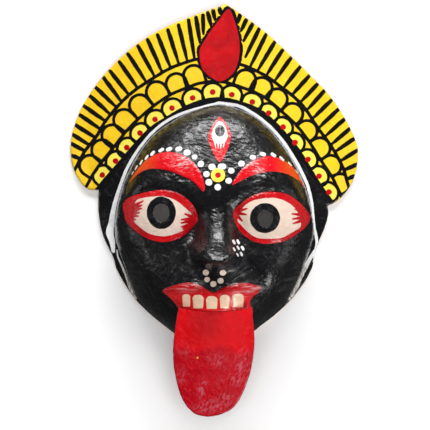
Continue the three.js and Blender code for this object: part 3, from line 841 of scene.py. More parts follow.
class Wire:
    """An output socket that can be used in sums."""

    def __init__(self, board, socket):
        self.board = board
        self.socket = socket

    def other(self, name):
        """Another output of the same node."""
        return Wire(self.board, self.socket.node.outputs[name])

    def sum(self, operation, *values):
        """A Math node on these values."""
        return self.board.add("ShaderNodeMath", {"operation": operation}, *values)

    def __add__(self, value):
        return self.sum("ADD", self, value)

    def __radd__(self, value):
        return self.sum("ADD", value, self)

    def __sub__(self, value):
        return self.sum("SUBTRACT", self, value)

    def __rsub__(self, value):
        return self.sum("SUBTRACT", value, self)

    def __mul__(self, value):
        return self.sum("MULTIPLY", self, value)

    def __rmul__(self, value):
        return self.sum("MULTIPLY", value, self)

    def __truediv__(self, value):
        return self.sum("DIVIDE", self, value)

    def __pow__(self, value):
        return self.sum("POWER", self, value)

    def larger(self, value):
        """The larger of the two."""
        return self.sum("MAXIMUM", self, value)

    def smaller(self, value):
        """The smaller of the two."""
        return self.sum("MINIMUM", self, value)

    def clamped(self):
        """No less than 0 and no more than 1."""
        return self.larger(0.0).smaller(1.0)

    def ramp(self, start, end):
        """0 at start, 1 at end, smooth between."""
        settings = {"interpolation_type": "SMOOTHSTEP"}
        return self.board.add("ShaderNodeMapRange", settings, self, start, end, 0.0, 1.0)


class Board:
    """A node tree that nodes are added to."""

    def __init__(self, tree):
        self.tree = tree

    def add(self, kind, settings=None, *values, output=0, **named):
        """Adds a node, sets its settings, then its sockets in order and by name."""
        node = self.tree.nodes.new(kind)
        for key, value in (settings or {}).items():
            setattr(node, key, value)
        sockets = [socket for socket in node.inputs if socket.enabled]
        pairs = list(zip(sockets, values))
        pairs += [(node.inputs[key.replace("_", " ")], value) for key, value in named.items()]
        for socket, value in pairs:
            if isinstance(value, Wire):
                self.tree.links.new(value.socket, socket)
            elif value is not None:
                socket.default_value = value
        outputs = [socket for socket in node.outputs if socket.enabled]
        chosen = outputs[output] if isinstance(output, int) else node.outputs[output]
        return Wire(self, chosen)

    def vector(self, operation, *values):
        """A Vector Math node on these values."""
        return self.add("ShaderNodeVectorMath", {"operation": operation}, *values)

    def blend(self, share, first, second):
        """The first colour, and as much of the second as the share says."""
        settings = {"data_type": "RGBA"}
        return self.add("ShaderNodeMix", settings, share, colour(first), colour(second))

    def noise(self, vector, size, detail=2.0, roughness=0.5, seed=0.0):
        """Noise whose features are about one size, in metres."""
        settings = {"noise_dimensions": "4D"}
        values = (vector, seed, 1.0 / size, detail, roughness)
        return self.add("ShaderNodeTexNoise", settings, *values, output="Fac")

    def join(self, wire, socket):
        """Links a wire to an input."""
        self.tree.links.new(wire.socket, socket)


def colour(value):
    """A colour with its alpha, or a wire as it is."""
    return value if isinstance(value, Wire) else (*value[:3], 1.0)


# Geometry trees


def new_tree(name, inputs):
    """A geometry tree with named inputs; returns its board and its input wires."""
    tree = bpy.data.node_groups.new(name, "GeometryNodeTree")
    tree.is_modifier = True
    tree.interface.new_socket("Geometry", in_out="OUTPUT", socket_type="NodeSocketGeometry")
    tree.interface.new_socket("Geometry", in_out="INPUT", socket_type="NodeSocketGeometry")
    for label, kind in inputs:
        tree.interface.new_socket(label, in_out="INPUT", socket_type="NodeSocket" + kind)
    board = Board(tree)
    entry = tree.nodes.new("NodeGroupInput")
    return board, {socket.name: Wire(board, socket) for socket in entry.outputs if socket.name}


def end_tree(board, geometry, finish):
    """Every tree ends in real geometry with its material."""
    real = board.add("GeometryNodeRealizeInstances", None, geometry)
    done = board.add("GeometryNodeSetMaterial", None, real, None, finish)
    board.join(done, board.tree.nodes.new("NodeGroupOutput").inputs[0])
    return board.tree


PAINTER_INPUTS = [
    ("Pattern", "Object"), ("Paint", "String"), ("Relief", "Float"), ("Relief width", "Float"),
    ("Wobble", "Float"), ("Wobble size", "Float"), ("Seed", "Float"), ("Finish", "Material"),
]


def position_over(board, size):
    """The position measured in a size, for noise whose features are that large."""
    position = board.add("GeometryNodeInputPosition")
    return board.vector("DIVIDE", position, board.add("ShaderNodeCombineXYZ", None, *[size] * 3))


def stored(board, name):
    """The number that the geometry keeps under a name."""
    return board.add("GeometryNodeInputNamedAttribute", {"data_type": "FLOAT"}, name)


def flat_position(board, given):
    """Where a point lies on the painter's flat pattern, with the stray of the brush."""
    stray = board.add(
        "ShaderNodeTexNoise", {"noise_dimensions": "4D"},
        position_over(board, given["Wobble size"]), given["Seed"], 1.0, 1.0, output="Color",
    )
    stray = board.vector("SUBTRACT", stray, (0.5, 0.5, 0.5))
    stray = board.vector("SCALE", stray, given["Wobble"] * 2.0)
    moved = board.vector("ADD", board.add("GeometryNodeInputPosition"), stray)
    return board.vector("MULTIPLY", moved, (1.0, 1.0, 0.0))


def over_pattern(board, given):
    """The pattern, a point's place on it and its distance from the pattern's nearest line."""
    flat = flat_position(board, given)
    pattern = board.add("GeometryNodeObjectInfo", None, given["Pattern"], output="Geometry")
    away = board.add(
        "GeometryNodeProximity", {"target_element": "EDGES"}, pattern, Sample_Position=flat,
        output="Distance",
    )
    return pattern, flat, away


def store_paint(board, given, depth):
    """Keeps the deepest paint at each vertex and raises it where it has relief."""
    kept = board.add(
        "GeometryNodeStoreNamedAttribute", {"data_type": "FLOAT", "domain": "POINT"},
        given["Geometry"], None, given["Paint"], depth.larger(stored(board, given["Paint"])),
    )
    rise = 1.0 - (1.0 - (depth / given["Relief width"]).clamped()) ** 2.0
    rise = rise * given["Relief"] * stored(board, "front")
    lift = board.add("ShaderNodeCombineXYZ", None, 0.0, 0.0, rise)
    raised = board.add("GeometryNodeSetPosition", None, kept, None, None, lift)
    return end_tree(board, raised, given["Finish"])


def shape_painter():
    """Paints filled shapes: the signed distance inside their edges is stored as paint."""
    board, given = new_tree("Painted shapes", PAINTER_INPUTS)
    pattern, flat, away = over_pattern(board, given)
    below = board.vector("SUBTRACT", flat, (0.0, 0.0, 0.001))
    hit = board.add(
        "GeometryNodeRaycast", None, pattern, Source_Position=below, Ray_Direction=(0, 0, 1),
        Ray_Length=0.002, output="Is Hit",
    )
    return store_paint(board, given, away * (hit * 2.0 - 1.0))


def stroke_painter():
    """Paints brush strokes: each line of the pattern is as wide as its half_width says.

    The pattern is flat, so on the steep sides distances are stretched to keep strokes narrow.
    """
    board, given = new_tree("Brush strokes", PAINTER_INPUTS)
    pattern, flat, away = over_pattern(board, given)
    nearest = board.add("GeometryNodeSampleNearest", {"domain": "POINT"}, pattern, flat)
    width = board.add(
        "GeometryNodeSampleIndex", {"data_type": "FLOAT", "domain": "POINT"}, pattern,
        stored(board, "half_width"), nearest,
    )
    up = board.add("ShaderNodeSeparateXYZ", None, board.add("GeometryNodeInputNormal"), output="Z")
    levelness = (up * 2.0).larger(0.15).smaller(1.0)
    return store_paint(board, given, width - away / levelness)


def paper_skin():
    """Makes a smooth sheet uneven, as layered paper under brushed enamel is."""
    board, given = new_tree("Papier-mache skin", [
        ("Lump height", "Float"), ("Lump size", "Float"), ("Crinkle height", "Float"),
        ("Crinkle size", "Float"), ("Seed", "Float"), ("Finish", "Material"),
    ])
    rise = 0.0
    for label, detail in (("Lump", 2.0), ("Crinkle", 3.0)):
        noise = board.add(
            "ShaderNodeTexNoise", {"noise_dimensions": "4D"},
            position_over(board, given[label + " size"]), given["Seed"], 1.0, detail, 0.55,
        )
        rise = (noise - 0.5) * 2.0 * given[label + " height"] + rise
    normal = board.add("GeometryNodeInputNormal")
    offset = board.vector("SCALE", normal, rise * stored(board, "give"))
    moved = board.add("GeometryNodeSetPosition", None, given["Geometry"], None, None, offset)
    smooth = board.add("GeometryNodeSetShadeSmooth", None, moved, None, True)
    return end_tree(board, smooth, given["Finish"])


def add_modifier(piece, tree, inputs):
    """Adds a geometry tree to a piece with its inputs set by name."""
    modifier = piece.modifiers.new(tree.name, "NODES")
    modifier.node_group = tree
    for item in tree.interface.items_tree:
        if item.in_out == "INPUT" and item.name in inputs:
            modifier[item.identifier] = inputs[item.name]


def shapes_object(name, outlines):
    """Filled shapes as a flat mesh."""
    vertices, faces = [], []
    for outline in outlines:
        faces.append(list(range(len(vertices), len(vertices) + len(outline))))
        vertices += [(x * MM, y * MM, 0.0) for x, y in outline]
    mesh = bpy.data.meshes.new(name)
    mesh.from_pydata(vertices, [], faces)
    return link(bpy.data.objects.new(name, mesh))


def strokes_object(name, strokes):
    """Brush strokes as flat lines of edges with a half width at each vertex, in millimetres."""
    vertices, edges, widths = [], [], []
    for stroke in strokes:
        first = len(vertices)
        edges += [(first + i, first + i + 1) for i in range(len(stroke) - 1)]
        vertices += [(x * MM, y * MM, 0.0) for x, y, _width in stroke]
        widths += [width * MM for _x, _y, width in stroke]
    mesh = bpy.data.meshes.new(name)
    mesh.from_pydata(vertices, edges, [])
    write_attribute(mesh, "half_width", widths)
    return link(bpy.data.objects.new(name, mesh))


def link(made):
    """Puts a new object in the scene."""
    bpy.context.scene.collection.objects.link(made)
    return made


def settle(piece, helpers):
    """Turns a piece with its modifiers into a plain mesh and clears the patterns away."""
    graph = bpy.context.evaluated_depsgraph_get()
    mesh = bpy.data.meshes.new_from_object(
        piece.evaluated_get(graph), preserve_all_data_layers=True, depsgraph=graph,
    )
    piece.modifiers.clear()
    mesh.name = piece.name
    piece.data = mesh
    mesh.set_sharp_from_angle(angle=SHARP_ANGLE)
    for helper in helpers:
        bpy.data.objects.remove(helper)


# Brush strokes of the pattern


def tapered(ax, ay, bx, by, widths):
    """A straight stroke whose half widths are spread evenly along it."""
    t = np.linspace(0, 1, max(3, round(math.hypot(bx - ax, by - ay) / STROKE_STEP)))
    stops = np.linspace(0, 1, len(widths))
    return np.column_stack([ax + (bx - ax) * t, ay + (by - ay) * t, np.interp(t, stops, widths)])


def dot(x, y, half_length, half_width, tilt=0.0):
    """A dab: a short stroke as long and as wide as it says."""
    reach = max(half_length - half_width, 0.01)
    dx, dy = reach * math.cos(math.radians(tilt)), reach * math.sin(math.radians(tilt))
    return tapered(x - dx, y - dy, x + dx, y + dy, [half_width, half_width])


def even_line(points, half_width, closed=False):
    """A smooth stroke of one width."""
    line = smooth_line(points, closed, SHAPE_STEP)
    if closed:
        line = np.concatenate([line, line[:1]])
    return np.column_stack([line, np.full(len(line), half_width)])


def area_below(line):
    """The area between a line across the crown and the foot of the mask."""
    return np.concatenate([smooth_line(line), [(120, -170), (-120, -170)]])


def arch(x, y, half_width, rise, leg, base_line):
    """An arch over a point, standing upright on a line."""
    nearest = int(np.argmin(np.hypot(base_line[:, 0] - x, base_line[:, 1] - y)))
    reach = 4
    before = base_line[max(nearest - reach, 0)]
    after = base_line[min(nearest + reach, len(base_line) - 1)]
    along = (after - before) / np.linalg.norm(after - before)
    out = np.array([-along[1], along[0]])
    angles = np.linspace(0, math.pi, 40)
    legs = np.linspace(-leg, -0.5, 16)
    side = np.full(len(legs), half_width)
    across = np.concatenate([side, half_width * np.cos(angles), -side])
    up = np.concatenate([legs, rise * np.sin(angles), legs[::-1]])
    return np.array([x, y]) + across[:, None] * along + up[:, None] * out


def scallop_arches(centres, base, rise, upper, lower, half_width):
    """Arches standing on a line, cut off where they would pass it or the line above."""
    base_line = smooth_line(base)
    strokes = []
    for x, y in centres:
        run = arch(x, y, SCALLOP_HALF_WIDTH, rise, SCALLOP_LEG, base_line)
        run = run[inside(run, upper) & ~inside(run, lower)]
        strokes.append(np.column_stack([run, np.full(len(run), half_width)]))
    return strokes


def rounded_tooth(left, bottom, right, top):
    """A tooth with a rounded top and a flat bottom."""
    half = (right - left) / 2
    middle = (left + right) / 2
    corner = 0.12 * half
    outline = [(left + corner, bottom), (right - corner, bottom)]
    for angle in np.linspace(0, math.pi, 17):
        aside = np.sign(math.cos(angle)) * abs(math.cos(angle)) ** 0.8
        drop = half * 0.75 * (1 - math.sin(angle) ** 0.9)
        outline.append((middle + half * aside, top - drop))
    return outline


def crown_ink():
    """Black line work of the crown."""
    lines = [
        (HAIR_LINE, HAIR_LINE_WIDTH), (MIDDLE_LINE, MIDDLE_LINE_WIDTH),
        (STRIPE_LINE, STRIPE_LINE_WIDTH),
    ]
    below_hair, below_middle, below_stripes = (area_below(line) for line, _width in lines)
    strokes = [even_line(line, width) for line, width in lines]
    strokes += [tapered(*ends, STRIPE_WIDTHS) for ends in CROWN_STRIPES]
    strokes += scallop_arches(
        PLAIN_SCALLOPS, MIDDLE_LINE, PLAIN_RISE, below_stripes, below_middle, PLAIN_ARCH_WIDTH,
    )
    strokes += scallop_arches(
        DOTTED_SCALLOPS, HAIR_LINE, DOTTED_RISE, below_middle, below_hair, DOTTED_ARCH_WIDTH,
    )
    strokes.append(even_line(DROP, DROP_EDGE_WIDTH, closed=True))
    return strokes


def crown_ground():
    """The yellow ground of the crown, out past its edge."""
    around = [(140, -10), (140, 170), (-140, 170), (-140, 5)]
    return np.concatenate([smooth_line(HAIR_LINE), around])


def closed_shapes(*outlines):
    """Smooth closed outlines."""
    return [smooth_line(outline, True, SHAPE_STEP) for outline in outlines]


def ellipse(x, y, half_width, half_height):
    """Outline of an ellipse."""
    angles = np.linspace(0, 2 * math.pi, 60, endpoint=False)
    return np.column_stack([x + half_width * np.cos(angles), y + half_height * np.sin(angles)])


def dabs(places, share):
    """Dabs of paint, all drawn smaller by one share."""
    return [dot(x, y, share * long, share * wide, tilt) for x, y, long, wide, tilt in places]


def painting():
    """Every pattern of the shell in the order of painting: kind, name, lines and paint layer."""
    flower = [dot(*FLOWER_CENTRE, *FLOWER_GROUND)]
    hair_line = smooth_line(HAIR_LINE)
    pale = [
        arch(x, y, PALE_HALF_WIDTH, DOTTED_RISE, PALE_LEG, hair_line) for x, y in DOTTED_SCALLOPS
    ]
    red_dots = [dot(x, y, *SCALLOP_DOT) for x, y in DOTTED_SCALLOPS]
    red_dots.append(dot(*FLOWER_CENTRE, *FLOWER_HEART))
    white = [smooth_line(line) * (1, 1, WHITE_LINE_SHARE) for line in WHITE_LINES]
    white += dabs(BROW_DOTS + FLOWER_DOTS, WHITE_DAB_SHARE)
    white += [dot(x, y, *CHEEK_STROKE) for x, y in CHEEK_STROKES]
    white += [tapered(*ends, DRIP_WIDTHS) for ends in THIRD_EYE_DRIPS]
    teeth = [rounded_tooth(*tooth) for tooth in TEETH]
    irises = [ellipse(*iris) for iris in IRISES] + closed_shapes(THIRD_EYE_PUPIL)
    lashes = [tapered(*ends, LASH_WIDTHS) for ends in LASHES]
    scratches_and_glints = [tapered(*ends, SCRATCH_AND_GLINT_WIDTHS) for ends in SCRATCHES_AND_GLINTS]
    return [
        ("shapes", "Crown ground", [crown_ground()], "yellow"),
        ("strokes", "Flower ground", flower, "yellow"),
        ("shapes", "Pale scallops", pale, "pale_yellow"),
        ("strokes", "Pale flower", flower, "pale_yellow"),
        ("strokes", "Crown line work", crown_ink(), "ink"),
        ("shapes", "Drop", closed_shapes(DROP), "crimson"),
        ("shapes", "Eye rims", closed_shapes(LEFT_EYE_RIM, RIGHT_EYE_RIM), "crimson"),
        ("shapes", "Mouth", closed_shapes(MOUTH), "crimson"),
        ("strokes", "Red dots", red_dots, "crimson"),
        ("shapes", "Brows", closed_shapes(LEFT_BROW, RIGHT_BROW), "scarlet"),
        ("shapes", "Third eye", closed_shapes(THIRD_EYE), "scarlet"),
        ("shapes", "Third eye white", closed_shapes(THIRD_EYE_WHITE), "white"),
        ("strokes", "White lines and dabs", white, "white"),
        ("shapes", "Eye whites", closed_shapes(LEFT_EYE_WHITE, RIGHT_EYE_WHITE), "cream"),
        ("shapes", "Teeth", teeth, "cream"),
        ("strokes", "Nose dots", dabs(NOSE_DOTS, NOSE_DOT_SHARE), "cream"),
        ("strokes", "Lashes", lashes, "crimson_over"),
        ("shapes", "Irises", irises, "ink_over"),
        ("strokes", "Scratches", scratches_and_glints, "scratch"),
    ]


# Materials


def new_material(name):
    """A material with its board, its shader node and its Object coordinates."""
    material = bpy.data.materials.new(name)
    material.use_nodes = True
    board = Board(material.node_tree)
    shader = material.node_tree.nodes["Principled BSDF"]
    place = board.add("ShaderNodeTexCoord", output="Object")
    return material, board, shader, place


def attribute(board, name):
    """The number that the mesh keeps under a name."""
    return board.add("ShaderNodeAttribute", {"attribute_name": name}, output="Fac")


def painted(board, name, softness):
    """1 inside a paint and 0 outside, with an edge as soft as it says, in metres."""
    return (attribute(board, name) / softness + 0.5).clamped()


def tinted(base, shares, more=(0.0, 0.0, 0.0)):
    """A colour with its red, green and blue each scaled by a share and raised."""
    if isinstance(shares, float):
        shares = (shares,) * 3
    return tuple(value * share + extra for value, share, extra in zip(base, shares, more))


def stretched(board, place, scale, turn):
    """Object coordinates stretched and turned, for brush marks."""
    return board.add(
        "ShaderNodeMapping", {"vector_type": "TEXTURE"}, place, None, (0.0, 0.0, turn),
        tuple(1.0 / share for share in scale),
    )


def arcs(board, place, centre):
    """Coordinates that run round a point, for strokes brushed in arcs."""
    away = board.vector("SUBTRACT", place, centre)
    split = board.add("ShaderNodeSeparateXYZ", None, away)
    turn = split.sum("ARCTAN2", split, split.other("Y"))
    radius = board.vector("LENGTH", away)
    return board.add("ShaderNodeCombineXYZ", None, radius, turn * 0.02, 0.0)


def brushwork(board, place, strokes):
    """Height of the brush marks and crinkles of the enamel, about 0 to 1."""
    sweep = board.noise(strokes, 0.0017, 1.0, 0.4)
    cross = board.noise(stretched(board, place, (0.25, 1.0, 1.0), -0.35), 0.0019, 1.0, 0.4, 3.0)
    where = board.noise(place, 0.02, 1.0, 0.5, 9.0).ramp(0.42, 0.58)
    crinkle = board.noise(place, 0.0038, 2.0, 0.5, 5.0)
    return (sweep * where + cross * (1.0 - where)) * 0.42 + crinkle * 0.58


def enamel_finish(board, shader, place, strokes, base, enamel, uneven, thickness):
    """Joins colour, gloss and bump of brushed enamel to a shader.

    strokes are the coordinates that the brush followed, enamel is 0 on bare paper, which stays
    dull, uneven is how rough the coat was laid, and thickness is its height in metres.
    """
    marks = brushwork(board, place, strokes)
    dull = board.noise(place, 0.009, 3.0, 0.6, 11.0).ramp(0.42, 0.7)
    board.join(base, shader.inputs["Base Color"])
    rough = 0.14 + uneven * 0.08 + dull * 0.16 + marks * 0.08
    board.join(rough * enamel + 0.85 * (1.0 - enamel), shader.inputs["Roughness"])
    board.join(enamel * (0.35 - dull * 0.25), shader.inputs["Coat Weight"])
    shader.inputs["Coat Roughness"].default_value = 0.13
    height = marks * (uneven * 0.001 + 0.0004) + thickness
    bump = board.add("ShaderNodeBump", None, Height=height, Strength=1.0, Distance=1.0)
    board.join(bump, shader.inputs["Normal"])


def bare_paper(board, place, paints):
    """Colour of unpainted layered paper, with fibres and a few darker strips."""
    fibre = board.noise(stretched(board, place, (1.0, 0.15, 1.0), 0.9), 0.0009, 3.0, 0.6, 2.0)
    patch = board.noise(place, 0.018, 3.0, 0.55, 6.0).ramp(0.35, 0.7)
    layered = board.blend(patch, paints.paper, tinted(paints.paper, 0.62))
    return board.blend(fibre.ramp(0.3, 0.7) * 0.5, layered, tinted(paints.paper, 1.25))


class ShellEnamels:
    """The enamels of the shell, each broken up as brushed paint is.

    Most of them share two noises: broad, in patches, and streak, in short strokes. x, y and z
    are the place on the mask, in metres. The brush went in arcs round the mouth.
    """

    paint_softness = 0.00022
    paint_thickness = 0.00007
    arc_centre = (0.001, -0.06, 0.0)

    def __init__(self, board, place, paints):
        self.board, self.place, self.paints = board, place, paints
        self.x = board.add("ShaderNodeSeparateXYZ", None, place)
        self.y, self.z = self.x.other("Y"), self.x.other("Z")
        self.broad = board.noise(place, 0.014, 3.0, 0.55, 1.0)
        strokes = stretched(board, place, (1.0, 0.2, 1.0), 0.8)
        self.streak = board.noise(strokes, 0.0022, 3.0, 0.6, 4.0)
        self.arcs = arcs(board, place, self.arc_centre)
        self.brushed = board.noise(self.arcs, 0.0009, 3.0, 0.6, 12.0)
        self.below_eyes = self.y.ramp(-0.036, -0.05)

    def black(self):
        """Black with grey worn places."""
        strokes = stretched(self.board, self.place, (0.3, 1.0, 1.0), 0.6)
        rub = self.board.noise(strokes, 0.0014, 4.0, 0.7, 8.0)
        worn = (rub.ramp(0.5, 0.66) + self.streak.ramp(0.52, 0.68)) * self.broad.ramp(0.42, 0.58)
        grey = tinted(self.paints.black, 1.0, (0.075, 0.078, 0.085))
        return self.board.blend((worn * 0.22).clamped(), self.paints.black, grey)

    def gold(self):
        """Gold of the crown, deeper in patches, and deeper towards the left wing as painted shade.
        """
        deep = tinted(self.paints.gold, (0.95, 0.87, 0.62))
        # Painted shade: the left wing, turned away from the light, is painted a deeper gold
        share = self.broad.ramp(0.35, 0.65) * 0.5 + self.x.ramp(-0.03, -0.08) * 0.5
        gold = self.board.blend(share, self.paints.gold, deep)
        return self.board.blend(self.streak.ramp(0.55, 0.8) * 0.5, gold, self.paints.lemon)

    def lemon(self):
        """Pale yellow with gold showing through."""
        share = self.streak.ramp(0.4, 0.75) * 0.35
        return self.board.blend(share, self.paints.lemon, self.paints.gold)

    def crimson(self):
        """Crimson, brighter round the teeth and deeper on the upper lip."""
        deep = tinted(self.paints.crimson, 0.62)
        crimson = self.board.blend(self.broad.ramp(0.4, 0.7) * 0.8, self.paints.crimson, deep)
        by_teeth = self.y.ramp(-0.059, -0.065)
        crimson = self.board.blend(by_teeth * 0.8, crimson, self.paints.scarlet)
        upper_lip = self.y.ramp(-0.05, -0.054) * self.y.ramp(-0.063, -0.058)
        return self.board.blend(upper_lip * (0.4 + 0.4 * self.streak), crimson, deep)

    def scarlet(self):
        """Scarlet of the brows, with a painted reflection of the gold crown, orange, at their outer
        ends.
        """
        # Painted reflection: the gold crown reflected orange in the outer ends of the brows
        orange = tinted(self.paints.scarlet, 1.0, (0.0, 0.06, -0.012))
        streaks = self.streak.ramp(0.5, 0.8) * 0.6
        scarlet = self.board.blend(streaks, self.paints.scarlet, self.paints.crimson)
        outer = self.x.ramp(-0.038, -0.054) + self.x.ramp(0.042, 0.058)
        share = (outer * self.broad.ramp(0.3, 0.5)).clamped() * 0.9
        return self.board.blend(share, scarlet, orange)

    def white(self):
        """White with grey streaks, tan below the eyes."""
        grey = tinted(self.paints.white, 0.82)
        white = self.board.blend(self.streak.ramp(0.5, 0.85) * 0.5, self.paints.white, grey)
        tan = tinted(self.paints.white, (0.66, 0.6, 0.52))
        return self.board.blend(self.below_eyes * 0.7, white, tan)

    def cream(self):
        """Cream of the eyes in patches, and ivory on the teeth."""
        tan = tinted(self.paints.cream, (0.93, 0.86, 0.8))
        cream = self.board.blend(self.broad.ramp(0.4, 0.7) * 0.5, self.paints.cream, tan)
        ivory = tinted(self.paints.cream, (1.12, 1.0, 0.82))
        return self.board.blend(self.y.ramp(-0.058, -0.061), cream, ivory)

    def rubbed(self):
        """Painted sheen: pale streaks along the brush strokes where the highlights fall."""
        return (self.brushed.ramp(0.46, 0.64) * attribute(self.board, "rubbed")).clamped()


def shell_material(paints):
    """Black, yellow, red and white enamels laid over each other by their paint depths."""
    material, board, shader, place = new_material("Painted papier-mache")
    enamels = ShellEnamels(board, place, paints)
    mask = {name: painted(board, name, enamels.paint_softness) for name in LAYERS}
    black, crimson = enamels.black(), enamels.crimson()
    thin = 1.0 - enamels.below_eyes * enamels.brushed.ramp(0.48, 0.6) * 0.75
    bare = attribute(board, "bare").ramp(0.35, 0.65)
    base = black
    for share, coat in [
        (mask["yellow"], enamels.gold()),
        (mask["pale_yellow"] * mask["yellow"], enamels.lemon()),
        (mask["ink"], paints.black),
        (mask["crimson"], crimson),
        (mask["scarlet"], enamels.scarlet()),
        # Painted sheen: pale streaks where the highlights fall on the gloss
        (enamels.rubbed() * 0.8, tinted(paints.white, 0.8)),
        (mask["white"] * thin, enamels.white()),
        (mask["cream"], enamels.cream()),
        (mask["crimson_over"], crimson),
        (mask["ink_over"], black),
        # Scratches in white, with the painted glints among them
        (mask["scratch"] * 0.55, paints.white),
        (bare, bare_paper(board, place, paints)),
    ]:
        base = board.blend(share, base, coat)

    coats = mask["yellow"]
    for name in ("ink", "crimson", "scarlet", "white", "cream", "crimson_over", "ink_over"):
        coats = coats + mask[name]
    uneven = enamels.z.ramp(0.016, 0.03) * (1.0 - mask["cream"] * 0.6)
    thickness = coats * enamels.paint_thickness
    enamel_finish(board, shader, place, enamels.arcs, base, 1.0 - bare, uneven, thickness)
    return material


def tongue_material(paints):
    """Glossy red enamel, brighter at the root and darker towards the tip, with painted sheen and
    shade.
    """
    material, board, shader, place = new_material("Red tongue enamel")
    y = board.add("ShaderNodeSeparateXYZ", None, place).other("Y")
    broad = board.noise(place, 0.024, 2.0, 0.5, 1.0)
    patch = board.noise(stretched(board, place, (1.0, 0.5, 1.0), 0.3), 0.01, 2.0, 0.5, 2.0)
    streak = board.noise(stretched(board, place, (1.0, 0.35, 1.0), 0.4), 0.0021, 3.0, 0.6, 4.0)
    sheen_flecks = board.noise(stretched(board, place, (1.0, 0.6, 1.0), -0.5), 0.0015, 2.0, 0.5, 7.0)
    sheen_streaks = board.noise(stretched(board, place, (1.0, 0.3, 1.0), -0.5), 0.0013, 3.0, 0.65, 9.0)
    low = (y + (broad - 0.5) * 0.04 + (streak - 0.5) * 0.012).ramp(-0.098, -0.107)
    speck = painted(board, "speck", 0.0003)
    deep = tinted(paints.tongue, (0.55, 0.4, 1.2))
    pink = tinted(paints.tongue, 0.85, (0.06, 0.14, 0.18))
    base = tinted(paints.tongue, 1.18)
    for share, coat in [
        (patch.ramp(0.42, 0.62) * 0.6, paints.tongue),
        (low, tinted(paints.tongue, (0.82, 0.6, 1.6))),
        (attribute(board, "shade") * 0.8, tinted(paints.tongue, 0.72)),
        (streak.ramp(0.48, 0.7) * low * 0.7, deep),
        # Painted sheen: pale pink streaks and flecks where the tongue's glints fall
        ((sheen_streaks.ramp(0.46, 0.6) * attribute(board, "rubbed")).clamped(), pink),
        (sheen_flecks.ramp(0.68, 0.74) * low * 0.35, tinted(pink, 1.0, (0.25, 0.25, 0.25))),
        (speck, paints.lemon),
        # Painted shade: a darker band along the sides, where the side walls fall in shadow
        (attribute(board, "from_edge").ramp(0.0011, 0.0003) * 0.8, deep),
    ]:
        base = board.blend(share, base, coat)

    enamel = 1.0 - attribute(board, "bare").ramp(0.4, 0.7) * 0.4
    strokes = stretched(board, place, (1.0, 0.25, 1.0), 0.5)
    uneven = low * 0.4 + 0.1
    enamel_finish(board, shader, place, strokes, base, enamel, uneven, speck * 0.0001)
    return material


def floor_material(stage):
    """Plain pale floor."""
    material, board, shader, place = new_material("Pale floor")
    tone = board.noise(place, 0.3)
    base = board.blend(tone, stage.floor, tinted(stage.floor, 0.985))
    board.join(base, shader.inputs["Base Color"])
    shader.inputs["Roughness"].default_value = 0.9
    shader.inputs["Specular IOR Level"].default_value = 0.1
    return material


# Pieces


def edge_loop(*runs):
    """Runs of the mask's edge put together and turned anticlockwise."""
    return np.concatenate([smooth_line(run, step=EDGE_STEP)[:-1] for run in runs])[::-1]


def mask_outline():
    """Edge of the mask as an anticlockwise loop."""
    return edge_loop(CROWN_RIGHT_EDGE, JAW_RIGHT_EDGE, JAW_LEFT_EDGE, CROWN_LEFT_EDGE)


def eye_hole_loops():
    """The two pierced pupils as clockwise loops, a little irregular as hand cuts are."""
    loops = []
    for x, y, half_width, half_height in EYE_HOLES:
        angles = -np.linspace(0, 2 * math.pi, 72, endpoint=False)
        stray = 1 + 0.018 * np.sin(3 * angles + x) + 0.012 * np.sin(5 * angles + y)
        loops.append(np.column_stack([
            x + half_width * stray * np.cos(angles), y + half_height * stray * np.sin(angles),
        ]))
    return loops


def paint_detail(points):
    """0 on the third eye, 1 where the paint is fine, 2 on the crown, 3 on the plain black."""
    x, y = points.T
    kind = np.full(len(points), 3)
    kind[inside(points, crown_ground())] = 2
    lines = np.concatenate([smooth_line(line, step=2 * LINE_STEP)[:, :2] for line in WHITE_LINES])
    kind[distance_to(points, lines) < WHITE_LINE_REACH] = 1
    areas = [(1, area) for area in FINE_AREAS] + [(0, THIRD_EYE_AREA)]
    for detail, (left, bottom, right, top) in areas:
        kind[(x > left) & (x < right) & (y > bottom) & (y < top)] = detail
    return kind


def soft_patches(x, y, places):
    """How strong the strongest of some soft-edged patches is at each point."""
    share = np.zeros(len(x))
    for centre_x, centre_y, long, wide, tilt, strength in places:
        along, across = turned(x - centre_x, y - centre_y, tilt)
        along, across = along / long, across / wide
        share = np.maximum(share, strength * np.exp(-(along * along + across * across) ** 1.5))
    return share


def jaw_of_hollow(surface):
    """Edge of the hollow inside the hair and jaw, a wall's width in; its ends are left out."""
    left_out = 6
    return offset_line(edge_loop(JAW_RIGHT_EDGE, JAW_LEFT_EDGE), -surface.wall)[left_out:-left_out]


def rim_of_hollow(jaw):
    """Edge of the hollow: the jaw's, and open all round behind the crown."""
    right = (jaw[-1][0], BEHIND_CROWN[0][1])
    left = (jaw[0][0], BEHIND_CROWN[-1][1])
    return np.concatenate([jaw, [right, *BEHIND_CROWN, left]])


def rounded_edge(heights, away, radius):
    """Lowers a surface near its edge to a quarter round."""
    depth = np.clip(radius - away, 0, radius)
    return heights - (radius - np.sqrt(np.clip(radius**2 - depth**2, 0, None)))


def rows_beside(line, distance, loops, inset):
    """A row of points on each side of a line, where they lie that far inside the mask."""
    rows = np.concatenate([offset_line(line, side) for side in (-distance, distance)])
    return rows[inside(rows, offset_line(loops[0], -inset))]


def shell_front(form, surface, loops):
    """Flat points, triangles and heights of the shell's front."""
    seat = surface.tongue_seat
    inner = points_within(loops, SHELL_BOX, SHELL_SPACINGS, paint_detail)
    rows, inner = (
        points[distance_to(points, seat) > SEAT_CLEARANCE] for points in (edge_rows(loops), inner)
    )
    seat_rows = rows_beside(seat, SEAT_ROW, loops, inset=1.5)
    flat, triangles = fill(loops, np.concatenate([rows, seat_rows, inner]))
    heights = surface.cut_front(flat)
    heights = rounded_edge(heights, distance_to(flat, loops[0]), form.edge_round / MM)
    holes = np.concatenate(loops[1:])
    return flat, triangles, rounded_edge(heights, distance_to(flat, holes), HOLE_ROUND)


